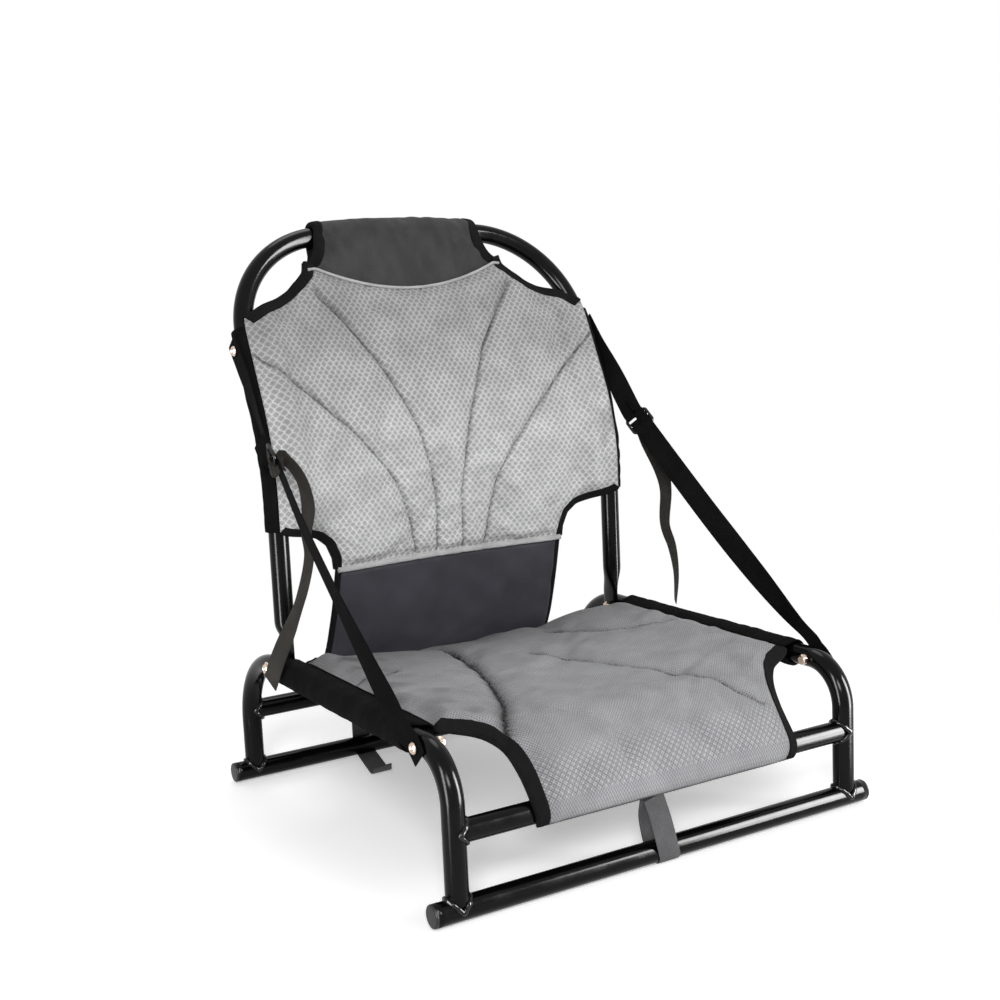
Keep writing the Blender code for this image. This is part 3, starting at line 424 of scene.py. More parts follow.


# Painted highlight: glints in lozenges, two slanted sine waves multiplied, paler on their crests, in a band along the
# cloth
def paintedGlintShade(tree, place, look):
    x, y = splitXY(tree, place)
    waves = []
    for operation in ("ADD", "SUBTRACT"):
        slanted = maths(tree, operation, times(tree, x, pi / look["size"]), times(tree, y, pi / look["size"]))
        waves.append(maths(tree, "ABSOLUTE", maths(tree, "SINE", slanted)))
    band = times(tree, spread(tree, y, *look["begins"], 0.0, 1.0), spread(tree, y, *look["ends"], 1.0, 0.10))
    shape = spread(tree, times(tree, *waves), 0.25, 0.75, *look["shade"])
    return maths(tree, "ADD", 1.0, times(tree, shape, band))


# Plain weave: two sets of threads crossing, one over the other by turns, at a pitch in metres.
# turn slants the weave, stretch makes one way coarser
def weaveMaterial(name, look):
    made, tree, shader = newMaterial(name, look["rough"], sheen=look.get("sheen", 0.1), shine=0.4,
                                     ior=look.get("ior", 1.12))
    place = coordinates(tree, "UV")
    mapping = tree.nodes.new("ShaderNodeMapping")
    mapping.inputs["Rotation"].default_value = (0, 0, look.get("turn", 0.0))
    wire(tree, place, mapping.inputs["Vector"])
    u, v = splitXY(tree, mapping.outputs[0])
    warp = maths(tree, "SINE", times(tree, u, pi / look["pitch"]))
    weft = maths(tree, "SINE", times(tree, v, pi / look["pitch"] / look.get("stretch", 1.0)))
    over = maths(tree, "GREATER_THAN", times(tree, warp, weft), 0.0)
    under = maths(tree, "SUBTRACT", 1.0, over)
    height = maths(tree, "ADD", times(tree, over, maths(tree, "ABSOLUTE", warp)),
                   times(tree, under, maths(tree, "ABSOLUTE", weft)))
    thread = mixColour(tree, height, look["dark"], look["light"])
    patch = noise(tree, place, look.get("patchScale", 28), 5)
    shade = spread(tree, patch, 0.3, 0.7, 1 - look["uneven"], 1 + look["uneven"])
    shade = times(tree, shade, creaseShade(tree))
    # Painted highlight: paler glinting lozenges, where the look has them
    if "paintedGlint" in look:
        shade = times(tree, shade, paintedGlintShade(tree, place, look["paintedGlint"]))
    wire(tree, scaled(tree, thread, shade), shader.inputs["Base Color"])
    wire(tree, bump(tree, height, look["depth"], look.get("bump", 0.7)), shader.inputs["Normal"])
    return made


# Knitted mesh of six-sided cells: a raised pale cord where a point is as far from its two nearest cell
# centres, or halfway between two cells of one row, and a deep dark hole in the middle of each cell
def cellMaterial(name, look):
    made, tree, shader = newMaterial(name, look["rough"], sheen=0.12, shine=0.4, ior=1.12)
    place = coordinates(tree, "UV")
    half = (0.5, 0.5, 0.5)
    drift = vectors(tree, "SUBTRACT", noise(tree, place, 90, 2.0, 0.5, output=1), half)
    moved = vectors(tree, "ADD", place, scaled(tree, drift, look["wobble"]))
    cells = vectors(tree, "DIVIDE", moved, (look["wide"], look["high"], 1.0))
    distances, edges = [], []
    for shift in ((0.0, 0.0, 0.5), half):
        inCell = vectors(tree, "SUBTRACT", vectors(tree, "FRACTION", vectors(tree, "ADD", cells, shift)), half)
        flat = vectors(tree, "MULTIPLY", inCell, (look["wide"], look["high"], 0.0))
        distances.append(vectors(tree, "LENGTH", flat))
        edges.append(maths(tree, "SUBTRACT", look["wide"] / 2, maths(tree, "ABSOLUTE", splitXY(tree, flat)[0])))
    gap = maths(tree, "ABSOLUTE", maths(tree, "SUBTRACT", *distances))
    second = maths(tree, "LESS_THAN", distances[1], distances[0])
    edge = maths(tree, "ADD", times(tree, second, edges[1]),
                 times(tree, maths(tree, "SUBTRACT", 1.0, second), edges[0]))
    border = maths(tree, "MINIMUM", gap, times(tree, edge, 1.4))
    cord = spread(tree, border, *look["cordWide"], 1.0, 0.0)
    hole = spread(tree, maths(tree, "MINIMUM", *distances), *look["holeWide"], 1.0, 0.0)
    colour = mixColour(tree, hole, mixColour(tree, cord, look["floor"], look["cord"]), look["deep"])
    grain = noise(tree, place, 800, 3)
    patch = noise(tree, place, 24, 5)
    shade = times(tree, spread(tree, patch, 0.3, 0.7, 0.86, 1.10), spread(tree, grain, 0.25, 0.75, 0.80, 1.16))
    wire(tree, scaled(tree, colour, times(tree, shade, creaseShade(tree))), shader.inputs["Base Color"])
    height = maths(tree, "SUBTRACT", cord, times(tree, hole, 0.7))
    height = maths(tree, "ADD", height, times(tree, grain, 0.6))
    wire(tree, bump(tree, height, look["depth"], 0.6), shader.inputs["Normal"])
    return made


# Turned or moulded metal and plastic: fine scratches or grain in gloss and height
def grainMaterial(name, look):
    made, tree, shader = newMaterial(name, look["rough"][0], metallic=look.get("metal", 0.0), shine=0.3)
    place = coordinates(tree, "Object")
    fine = noise(tree, place, look["scale"], 4)
    wire(tree, spread(tree, fine, 0.3, 0.7, *look["rough"]), shader.inputs["Roughness"])
    wire(tree, mixColour(tree, noise(tree, place, look["scale"] / 8, 3), look["dark"], look["light"]),
         shader.inputs["Base Color"])
    wire(tree, bump(tree, fine, look["depth"], 0.5), shader.inputs["Normal"])
    return made


tubePaint = paintMaterial("tubePaint", paintLook)
weldPaint = paintMaterial("weldPaint", weldLook)
plugPlastic = grainMaterial("plugPlastic", {
    "dark": grey(0.006), "light": grey(0.014), "rough": (0.34, 0.5), "scale": 700, "depth": 0.0002})
lockPlastic = grainMaterial("lockPlastic", {
    "dark": grey(0.004), "light": grey(0.008), "rough": (0.18, 0.28), "scale": 500, "depth": 0.0001})
boltSteel = grainMaterial("boltSteel", {
    "dark": (0.46, 0.33, 0.26, 1), "light": (0.76, 0.62, 0.52, 1), "rough": (0.18, 0.34), "scale": 600,
    "depth": 0.0001, "metal": 1.0})
backThread = grainMaterial("backThread", {
    "dark": grey(0.03), "light": grey(0.11), "rough": (0.6, 0.8), "scale": 1500, "depth": 0.0001})
seatThread = grainMaterial("seatThread", {
    "dark": grey(0.006), "light": grey(0.02), "rough": (0.6, 0.8), "scale": 1500, "depth": 0.0001})
blackWebbing = weaveMaterial("blackWebbing", {
    "pitch": 0.0013, "stretch": 1.6, "dark": grey(0.002), "light": grey(0.009), "rough": 0.6, "uneven": 0.2,
    "depth": 0.0005, "sheen": 0.0, "ior": 1.06})
tailWebbing = weaveMaterial("tailWebbing", {
    "pitch": 0.0013, "stretch": 1.6, "dark": grey(0.014), "light": (0.046, 0.041, 0.035, 1), "rough": 0.65,
    "uneven": 0.25, "depth": 0.0005, "sheen": 0.05})
loopWebbing = weaveMaterial("loopWebbing", {
    "pitch": 0.0012, "stretch": 1.5, "dark": grey(0.035), "light": grey(0.125, cool=0.006), "rough": 0.65,
    "uneven": 0.2, "depth": 0.0006, "sheen": 0.1})
meshCloth = cellMaterial("meshCloth", {
    "wide": 0.0076, "high": 0.0092, "wobble": 0.0034, "cordWide": (0.0002, 0.0013), "holeWide": (0.0003, 0.0030),
    "deep": grey(0.37, cool=0.003), "floor": grey(0.50, cool=0.004), "cord": grey(0.80, cool=0.004),
    "rough": 0.75, "depth": 0.0010})
# Seat cloth, with a painted highlight: a band of paler glinting lozenges across the front of the seat
seatCloth = weaveMaterial("seatCloth", {
    "pitch": 0.0022, "turn": pi / 4, "stretch": 1.0, "dark": grey(0.125, cool=0.005),
    "light": grey(0.38, cool=0.013), "rough": 0.6, "uneven": 0.10, "depth": 0.0010, "sheen": 0.12,
    "paintedGlint": {"size": 0.0072, "begins": (0.018, 0.024), "ends": (0.045, 0.075), "shade": (-0.10, 0.34)}})
headCloth = weaveMaterial("headCloth", {
    "pitch": 0.0008, "dark": grey(0.020), "light": grey(0.060, cool=0.002), "rough": 0.7, "uneven": 0.22,
    "depth": 0.0003, "sheen": 0.08})
lumbarCloth = weaveMaterial("lumbarCloth", {
    "pitch": 0.0005, "dark": grey(0.030, cool=0.007), "light": grey(0.056, cool=0.012), "rough": 0.55,
    "uneven": 0.14, "depth": 0.0001, "bump": 0.3, "sheen": 0.05, "patchScale": 16})
blackCloth = weaveMaterial("blackCloth", {
    "pitch": 0.0008, "dark": grey(0.002), "light": grey(0.010), "rough": 0.7, "uneven": 0.25, "depth": 0.0004,
    "sheen": 0.01, "ior": 1.05})
bindingTape = weaveMaterial("bindingTape", {
    "pitch": 0.0009, "stretch": 1.4, "dark": grey(0.003), "light": grey(0.014), "rough": 0.6, "uneven": 0.2,
    "depth": 0.0004, "sheen": 0.01, "ior": 1.06})
pipingCloth = weaveMaterial("pipingCloth", {
    "pitch": 0.0007, "dark": grey(0.30), "light": grey(0.56), "rough": 0.65, "uneven": 0.15, "depth": 0.0003})
print("materials done")


# Base frame: tubes, welds and plugs

# Painted round tube along a line
def tubeAlong(name, body, path, hint, nodes):
    made = swept(name, path, hint, ringShape(44), tubeR, tubeR)
    return finish(made, body, "tube_paint", tubePaint, *nodes)


for tag, sign in sides:
    corners = [(sign * railX, frontY, footZ + 0.004), (sign * railX, frontY, railZ),
               (sign * railX, rearY, railZ), (sign * railX, rearY, footZ + 0.004)]
    line = evenly(bentLine(corners, [frameSize["frontBend"], frameSize["rearBend"]], radians(3)), 0.0035)
    tubeAlong(tag + "SideTube", "base", line, (1, 0, 0), [tag + "_side_frame"])


# Centre line of a leg at a height: straight up, then forward round its bend
def legY(foot, z):
    bend = frameSize["rearBend"]
    rise = np.maximum(np.asarray(z, float) - railZ + bend, 0)
    return np.full(np.shape(z), foot) if foot == frontY else rearY - bend + np.sqrt(bend ** 2 - rise ** 2)


ends = (("front", frontY), ("rear", rearY))
for tag, y in ends:
    half = frameSize["footHalf"] - 0.0028
    line = evenly([(-half, y, footZ), (half, y, footZ)], 0.006)
    tubeAlong(tag + "FootTube", "base", line, (0, 0, 1), [tag + "_foot_tube"])
    crossY = float(legY(y, crossZ))
    line = evenly([(-railX + 0.004, crossY, crossZ), (railX - 0.004, crossY, crossZ)], 0.006)
    tubeAlong(tag + "CrossTube", "base", line, (0, 0, 1), [tag + "_cross_tube"])


# Weld bead: a small ring carried round the line where one tube's wall meets another, swelling in ripples
def weldBead(name, line, inward):
    line = evenly(np.concatenate([line, line[:1]]), 0.0006)
    turn = np.linspace(0, 2 * pi, len(line))
    puff = 1 + weldLook["swell"] * np.sin(turn * weldLook["ripples"]) + 0.12 * np.sin(turn * 3 + len(name))
    made = swept(name, line, inward, ringShape(14), weldLook["bead"] * puff, weldLook["bead"] * puff * 0.8)
    return finish(made, "base", "tube_paint", weldPaint)


# Where two equal tubes meet square to each other, the ring round one is (cos, sin) and its height on the other
# is the root of what the sine leaves of the radius
weldTurn = np.linspace(0, 2 * pi, 90, endpoint=False)
weldReach = tubeR + 0.0006
weldCos, weldSin = weldReach * np.cos(weldTurn), weldReach * np.sin(weldTurn)
weldRise = np.sqrt(np.maximum(weldReach ** 2 - weldSin ** 2, 0))
# Plug of a foot tube, as (distance from its outer face, radius)
plugProfile = [(-0.0165, 0.0088), (-0.0027, 0.0092), (-0.0025, tubeR), (-0.0012, tubeR), (-0.0004, tubeR - 0.0005),
               (-0.0001, tubeR - 0.0013), (0, tubeR - 0.003)]
for tag, sign in sides:
    for end, y in ends:
        corner = end + tag.capitalize()
        crossY = float(legY(y, crossZ))
        weldBead(corner + "FootWeld", np.stack([sign * railX + weldCos, y + weldSin, footZ + weldRise], 1),
                 (0.02, 0.01, 1))
        weldBead(corner + "CrossWeld",
                 np.stack([sign * (railX - weldRise), crossY + weldSin, crossZ + weldCos], 1), (1, 0.02, 0.01))
        plug = turnedX(corner + "Plug", 0, y, footZ, sign,
                       [(frameSize["footHalf"] + a, radius) for a, radius in plugProfile], 44)
        finish(plug, "base", "plastic", plugPlastic, "%s_%s_foot_plug" % (end, tag))
print("base frame done")


# Back frame

# y of the back tube's centre line at a height: upright, an arc, then leaning back
def backLineY(z):
    z = np.asarray(z, float)
    span = kinkR * tan(lean / 2)
    low, high = kinkZ - span, kinkZ + span * cos(lean)
    arc = pivotY + kinkR - np.sqrt(np.maximum(kinkR ** 2 - np.maximum(z - low, 0) ** 2, 0))
    return np.where(z < low, pivotY, np.where(z < high, arc, pivotY + (z - kinkZ) * tan(lean)))


# y and z of the direction the back faces at a height: forward, tilting up along the arc as far as the lean
def backFacing(z):
    span = kinkR * tan(lean / 2)
    tilt = np.clip((np.asarray(z, float) - kinkZ + span) / (span * (1 + cos(lean))), 0, 1) * lean
    return -np.cos(tilt), np.sin(tilt)


# x of the back tube's centre line at a height, drawn in round the top corner
def backTubeHalf(z):
    rise = np.maximum(np.asarray(z, float) - topZ + cornerR * cos(lean), 0) / cos(lean)
    return backTubeX - cornerR + np.sqrt(np.maximum(cornerR ** 2 - rise ** 2, 0))


tabLook = {"halfThick": 0.0023, "halfWide": 0.0145, "end": 0.018, "taperEnd": 0.050, "below": 0.013, "x": 0.2179}
half = [(backTubeX, pivotY, railZ - tabLook["below"]), (backTubeX, pivotY, kinkZ), (backTubeX, topY, topZ)]
line = bentLine(half + [(-x, y, z) for x, y, z in half[::-1]], [kinkR, cornerR, cornerR, kinkR], radians(3))
line = evenly(line, 0.0035)
grow = smoothStep((line[:, 2] - railZ - tabLook["end"]) / (tabLook["taperEnd"] - tabLook["end"]))
tabEnd = np.sqrt(np.clip((line[:, 2] - railZ + tabLook["below"]) / 0.010, 0.03, 1))
wide = (tabLook["halfWide"] + (tubeR - tabLook["halfWide"]) * grow) * tabEnd
thick = tabLook["halfThick"] + (tubeR - tabLook["halfThick"]) * grow
line[:, 0] += np.sign(line[:, 0]) * (tabLook["x"] - backTubeX) * (1 - grow)
backTube = swept("backTube", line, (0, 1, 0), ringShape(44), wide, thick)
finish(backTube, "back", "tube_paint", tubePaint, "back_frame")


# Fasteners

headProfile = [(0, 0.0058), (0.0010, 0.0058), (0.0019, 0.0054), (0.0028, 0.0045), (0.0033, 0.0034), (0.0034, 0.0026),
               (0.0033, 0.0021), (0.0014, 0.0019), (0.0013, 0.0003)]
boltLook = {"shank": 0.003, "nut": 0.0058, "nutHigh": 0.0060, "nutBore": 0.0031, "washer": 0.0078,
            "washerBore": 0.0034, "washerThick": 0.0012}


# Button head with a six-sided socket, on its shank
def buttonBolt(name, body, sign, y, z, inside, outside, node):
    profile = [(inside, 0.0005), (inside, boltLook["shank"]), (outside, boltLook["shank"])]
    profile += [(outside + x, radius) for x, radius in headProfile]
    made = turnedX(name, 0, y, z, sign, profile, 48, hexFrom=8)
    return finish(made, body, "fastener_steel", boltSteel, node)


# Six-sided nut: a round one whose points are drawn in to the flats, so that its corners stay chamfered
def hexNut(name, sign, y, z, inside, node):
    wide, high, bore = boltLook["nut"], boltLook["nutHigh"], boltLook["nutBore"]
    profile = [(inside, bore), (inside, wide - 0.0010), (inside + 0.0007, wide), (inside + high - 0.0007, wide),
               (inside + high, wide - 0.0010), (inside + high, bore)]
    made = turnedX(name, 0, y, z, sign, profile, 48)
    points = np.array([v.co for v in made.data.vertices])
    off = points[:, 1:] - (y, z)
    radius = np.hypot(*off.T)
    a = np.arctan2(off[:, 1], off[:, 0])
    limit = wide * cos(pi / 6) / np.cos((a + pi / 6) % (pi / 3) - pi / 6)
    points[:, 1:] = (y, z) + off * (np.minimum(radius, limit) / radius)[:, None]
    made.data.vertices.foreach_set("co", points.astype(np.float32).ravel())
    return finish(made, "base", "fastener_steel", boltSteel, node)


# Flat washer with chamfered edges, on the pivot's axis
def ring(name, sign, start, node, slotName, material):
    wide, bore, stop = boltLook["washer"], boltLook["washerBore"], start + boltLook["washerThick"]
    profile = [(start, bore), (start, wide - 0.0004), (start + 0.0003, wide), (stop - 0.0003, wide),
               (stop, wide - 0.0004), (stop, bore)]
    made = turnedX(name, 0, pivotY, railZ, sign, profile, 40)
    return finish(made, "base", slotName, material, node)


screwZ, boltY = frameSize["screwZ"], frameSize["strapBoltY"]
screwY = float(backLineY(screwZ))
for tag, sign in sides:
    buttonBolt(tag + "PivotBolt", "base", sign, pivotY, railZ, 0.2098, 0.2458, tag + "_pivot_bolt")
    hexNut(tag + "PivotNut", sign, pivotY, railZ, 0.2093, tag + "_pivot_nut")
    ring(tag + "PivotWasher", sign, 0.2443, tag + "_pivot_washer", "fastener_steel", boltSteel)
    ring(tag + "PivotSpacer", sign, 0.2205, tag + "_pivot_spacer", "plastic", plugPlastic)
    buttonBolt(tag + "StrapBolt", "base", sign, boltY, railZ, 0.2162, 0.2461, tag + "_strap_bolt")
    hexNut(tag + "StrapNut", sign, boltY, railZ, 0.2157, tag + "_strap_nut")
    buttonBolt(tag + "StrapScrew", "back", sign, screwY, screwZ, 0.2230, 0.2370, tag + "_strap_screw")
print("back frame and fasteners done")


# Blurs a grid of values with a small even kernel both ways
def blurred(values, rounds=1):
    for _ in range(rounds):
        padded = np.pad(values, ((1, 1), (1, 1)) + ((0, 0),) * (values.ndim - 2), mode="edge")
        values = (padded[:-2, 1:-1] + padded[2:, 1:-1] + padded[1:-1, :-2] + padded[1:-1, 2:]
                  + 4 * padded[1:-1, 1:-1]) / 8
    return values


# Values between the points of a coarse grid, shared out by distance to the four nearest
def resampled(grid, rows, cols):
    r, c = np.linspace(0, grid.shape[0] - 1, rows), np.linspace(0, grid.shape[1] - 1, cols)
    i, j = np.minimum(r.astype(int), grid.shape[0] - 2), np.minimum(c.astype(int), grid.shape[1] - 2)
    fr, fc = (r - i)[:, None, None], (c - j)[None, :, None]
    top = grid[i][:, j] * (1 - fc) + grid[i][:, j + 1] * fc
    low = grid[i + 1][:, j] * (1 - fc) + grid[i + 1][:, j + 1] * fc
    return top * (1 - fr) + low * fr


clothRun = {"pressure": 4.0, "shrink": -0.03, "cap": 0.0030, "frames": 20, "step": 5}


# Cloth run on a coarse closed copy of a pad: pressure fills it while its rear, rim and seams are pinned.
# Gives back how far each front point moved, no more than the cap
def settled(name, front, rear, hold):
    step = clothRun["step"]
    rows = np.unique(np.append(np.arange(0, front.shape[0], step), front.shape[0] - 1))
    cols = np.unique(np.append(np.arange(0, front.shape[1], step), front.shape[1] - 1))
    coarse, behind, pin = front[rows][:, cols], rear[rows][:, cols], hold[rows][:, cols]
    thing = slab(name, coarse, behind, coarse[..., :2])
    group = thing.vertex_groups.new(name="pin")
    weights = np.concatenate([pin.ravel(), np.ones(pin.size)])
    for weight in np.unique(np.round(weights, 1)):
        group.add(np.flatnonzero(np.round(weights, 1) == weight).tolist(), float(weight), "REPLACE")
    cloth = thing.modifiers.new("cloth", "CLOTH")
    cloth.settings.vertex_group_mass = "pin"
    cloth.settings.quality = 6
    cloth.settings.use_pressure = True
    cloth.settings.uniform_pressure_force = clothRun["pressure"]
    cloth.settings.shrink_min = clothRun["shrink"]
    cloth.settings.tension_stiffness = 20
    cloth.settings.bending_stiffness = 0.6
    cloth.settings.effector_weights.gravity = 0
    cloth.point_cache.frame_end = clothRun["frames"]
    for frameNumber in range(1, clothRun["frames"] + 1):
        bpy.context.scene.frame_set(frameNumber)
    shown = thing.evaluated_get(bpy.context.evaluated_depsgraph_get()).data
    points = np.zeros(len(shown.vertices) * 3, np.float32)
    shown.vertices.foreach_get("co", points)
    moved = points.reshape(-1, 3)[:coarse.size // 3].reshape(coarse.shape) - coarse
    bpy.data.objects.remove(thing)
    bpy.context.scene.frame_set(1)
    length = np.linalg.norm(moved, axis=2, keepdims=True)
    moved = moved * np.minimum(1, clothRun["cap"] / np.maximum(length, 1e-9))
    print(name, "moved up to", round(float(length.max()) * 1000, 1), "mm")
    return blurred(resampled(moved, *front.shape[:2]), 3)
# Front and rear skins of a pad. The front is lifted by the thickness and settled as cloth, held along its seams,
# near its free rims and where it is thin. Gives back both, and each point's distance from a seam
def padSkins(name, u, v, skin, lift, seams, rims, rimHold):
    front, rear = skin(u, v, lift), skin(u, v, 0 * lift)
    seamAway, rimAway = awayFrom(u, v, seams), awayFrom(u, v, rims)
    hold = np.maximum(1 - (seamAway - 0.003) / 0.005, 1.4 - (lift - 0.003) / 0.005)
    hold = np.clip(np.maximum(hold, 1 - (rimAway - rimHold) / 0.006), 0, 1)
    return front + settled(name, front, rear, hold), rear, seamAway


# A pad's thickness drawn in along seam number n: a wide dip, a sharp one at the stitches, and puckers beside them
def drawnIn(lift, side, u, v, n, line, seam):
    away, along = toLine(u, v, line)
    draw = seam["dip"] * near(away, seam["wide"], seam["power"]) + seam["stitch"] * near(away, seam["stitchWide"])
    wave = np.sin(2 * pi * along / seam["step"] + 2 * np.sin(along * seam["drift"] + n))
    pucker = seam["pucker"] * wave * np.exp(-away / seam["reach"])
    return lift * (1 - draw * side) + pucker * (away > 0.001) * side


threadLook = {"long": 0.0034, "gap": 0.0014, "r": 0.00036, "step": 0.0005}


# Small raised stitches along lines on a surface, each a six-sided thread that dips into the cloth at both ends
def stitches(name, body, material, lines, place, look):
    starts, ends = [], []
    count = int(look["long"] / look["step"])
    for line in lines:
        line = evenly(line, look["step"])
        first = np.arange(0, len(line) - 1 - count, int((look["long"] + look["gap"]) / look["step"]))
        starts.append(line[first])
        ends.append(line[first + count])
    starts, ends = np.concatenate(starts), np.concatenate(ends)
    share = np.array([0.0, 0.2, 0.5, 0.8, 1.0])[:, None]
    flat = starts[:, None] * (1 - share) + ends[:, None] * share
    rise = np.array([-0.0004, 0.0003, 0.0005, 0.0003, -0.0004])
    rings = place(flat[..., 0], flat[..., 1], rise[None, :])
    ahead = unit(rings[:, -1:] - rings[:, :1])
    above = place(flat[..., 0], flat[..., 1], rise[None, :] + 0.002) - rings
    above = unit(above - ahead * (above * ahead).sum(2, keepdims=True))
    side = np.cross(ahead, above)
    a = np.arange(6) * pi / 3
    around = side[:, :, None] * np.cos(a)[:, None] + above[:, :, None] * np.sin(a)[:, None]
    points = rings[:, :, None] + look["r"] * around
    quads, places = gridQuads(5, 6, wrapAcross=True)
    start = (np.arange(len(starts)) * 30)[:, None, None]
    caps = [list(range(n * 30, n * 30 + 6))[::-1] for n in range(len(starts))]
    caps += [list(range(n * 30 + 24, n * 30 + 30)) for n in range(len(starts))]
    uv = np.broadcast_to(places[None] * 0.0005, (len(starts),) + places.shape)
    made = addMesh(name, points, (quads[None] + start).reshape(-1, 4), uv.reshape(-1, 4, 2), caps)
    return finish(made, body, "piping_cord", material)


tapeLook = {"past": 0.0014, "full": 0.0012, "over": 0.0006, "behind": -0.0012, "wave": 0.00025}


# Sewn tape folded over a rim: it follows the pad's own skin, a little above it, from just past the rim inward.
# line runs along the rim, and inward is +1 or -1 for the side of it that the cloth is on
def rimTape(name, body, line, inward, wide, place, liftAt):
    line = evenly(line, 0.0025)
    ahead = headings(line)
    across = np.stack([-ahead[:, 1], ahead[:, 0]], 1) * inward
    w = np.concatenate([[-tapeLook["past"], -0.0010], np.linspace(0.0006, wide, 9)])
    flat = line[:, None] + across[:, None] * w[None, :, None]
    u, v = flat[..., 0], flat[..., 1]
    full = tapeLook["full"]
    puff = full * np.clip((wide - w) / full, 0, 1) * np.clip((w + tapeLook["past"]) / full, 0, 1)
    wave = tapeLook["wave"] * ripple(u, v, 31, 0.012, 6)
    top = place(u, v, liftAt(u, v) + puff + tapeLook["over"] + wave * (puff > 0.001))
    under = place(u, v, tapeLook["behind"] + 0 * u)
    uv = np.stack(np.broadcast_arrays(w[None, :], alongPath(line)[:, None]), -1)
    return finish(slab(name, top, under, uv), body, "black_cloth", bindingTape)


# Half a skin from the middle outward, mirrored to the other side
def bothSides(x, other):
    return np.concatenate([-x[:, :0:-1], x], 1), np.concatenate([other[:, :0:-1], other], 1)


# Back upholstery, on the same surface as the solids: s along the cloth from the middle, z up

backLook = {
    "low": 0.249, "top": 0.557, "wrapR": 0.0119, "wrapFrom": 0.5, "wrap": 0.75, "pad": 0.014, "rim": 0.0030,
    "lowHalf": 0.152, "headLow": 0.132, "crown": 0.025, "crownFrom": 0.685,
    # Strengths of the painted shade: along the seams, towards the top and on the left side
    "crease": 0.74, "topShade": 0.40, "leftShade": 0.06,
    "seam": {"dip": 0.20, "wide": 0.0060, "power": 1.4, "stitch": 0.26, "stitchWide": 0.0015, "pucker": 0.00035,
             "step": 0.0105, "drift": 90, "reach": 0.009}}
padLow, padTop, wrapR, wrapFrom = (backLook[k] for k in ("low", "top", "wrapR", "wrapFrom"))
flatHalf = backTubeX - wrapR * sin(wrapFrom) - 0.0018
padFull = flatHalf + backLook["wrap"] * wrapR
lowHalf, headLow = backLook["lowHalf"], backLook["headLow"]
lowCut = [(0.0, 0.0), (0.042, 0.02), (0.094, 0.13), (0.127, 0.33), (0.148, 0.68), (0.159, 0.99)]
topCut = [(0.891, 0.99), (0.906, 0.87), (0.925, 0.63), (0.948, 0.37), (0.974, 0.16), (1.0, 0.0)]
padWidths = [(a, lowHalf + (flatHalf - lowHalf) * b) for a, b in lowCut] + [(0.172, padFull), (0.878, padFull)]
padWidths = np.array(padWidths + [(a, headLow + (flatHalf - headLow) * b) for a, b in topCut])
slingSag = np.array([(0.0, 0.024), (0.263, 0.022), (0.653, 0.012), (1.14, 0.004)])
innerSeam = np.array([(0.0, 0.080), (0.198, 0.080), (0.325, 0.103), (0.494, 0.159), (0.607, 0.234), (0.760, 0.342),
                      (0.890, 0.478), (1.0, 0.614)])
outerSeam = np.array([(0.0, 0.211), (0.166, 0.258), (0.270, 0.309), (0.377, 0.403), (0.507, 0.571), (0.643, 0.796),
                      (0.770, 1.040)])


# Share of the pad's height, 0 at its lower edge and 1 at its top
def levelOf(z):
    return (np.asarray(z, float) - padLow) / (padTop - padLow)


# How much the pad's upper part is raised: the square of the level times the square of the distance from the middle
def crownAt(s, z):
    share = np.clip((levelOf(z) - backLook["crownFrom"]) / (1 - backLook["crownFrom"]), 0, 1) ** 2
    return backLook["crown"] * share * np.minimum(np.abs(s) / (headLow - 0.013), 1) ** 2


# Depth of the sling between the back tubes: a parabola across, read from the table up the back
def backSag(s, z):
    return np.clip(1 - (s / flatHalf) ** 2, 0, 1) * np.interp(levelOf(z), *slingSag.T)


# Point beside the back tubes' plane: x across, at a height, and out towards the front
def offBack(x, z, out):
    ny, nz = backFacing(z)
    return np.stack(np.broadcast_arrays(x, backLineY(z) + ny * out, z + nz * out), -1)


# Flat and sagging between the tubes, then round the front of each tube, lifted off by the cloth's thickness
def backSkin(s, z, lift):
    a = np.abs(s)
    around = wrapR + lift
    ease = smoothStep((a - flatHalf + 0.04) / 0.034)
    angle = wrapFrom - np.maximum(a - flatHalf, 0) / wrapR
    shift = backTubeHalf(z) - around * sin(wrapFrom) - flatHalf
    shift = shift * np.clip((a - 0.15) / (flatHalf - 0.15), 0, 1)
    x = np.where(a > flatHalf, backTubeHalf(z) - around * np.sin(angle), a + shift)
    flatOut = around * cos(wrapFrom) * ease + lift * (1 - ease)
    out = np.where(a > flatHalf, around * np.cos(angle), flatOut)
    return offBack(np.where(s < 0, -1.0, 1.0) * x, z, out - backSag(a, z))


# Running mean of a table read at fine steps, so that its corners become curves
def softTable(table, size):
    fine = np.linspace(table[0, 0], table[-1, 0], 1201)
    kernel = np.hanning(size)
    values = np.interp(fine, *table.T)
    return fine, np.convolve(np.pad(values, size // 2, mode="edge"), kernel / kernel.sum(), "valid")


padHalves = softTable(padWidths, 17)


# Seam as (s, height), from a table of level and share of the half width
def seamLine(table, sign):
    level, share = softTable(table, 121)
    return np.stack([sign * share * flatHalf, padLow + level * (padTop - padLow)], 1)[::10]


backSeams = [seamLine(table, sign) for table in (innerSeam, outerSeam) for sign in (-1, 1)]

# Free rims of the pad, as lines of (s, height): the right shoulder and low corner, then the left ones
rimLevels = np.linspace(0, 1, 400)
rimHalf = np.interp(rimLevels, *padHalves)
rimHeight = padLow + rimLevels * (padTop - padLow)
rim = np.stack([rimHalf, rimHeight + crownAt(rimHalf, rimHeight)], 1)
rightRims = [rim[rimLevels > 0.874], rim[rimLevels < 0.176]]
freeRims = rightRims + [line * (-1, 1) for line in rightRims]


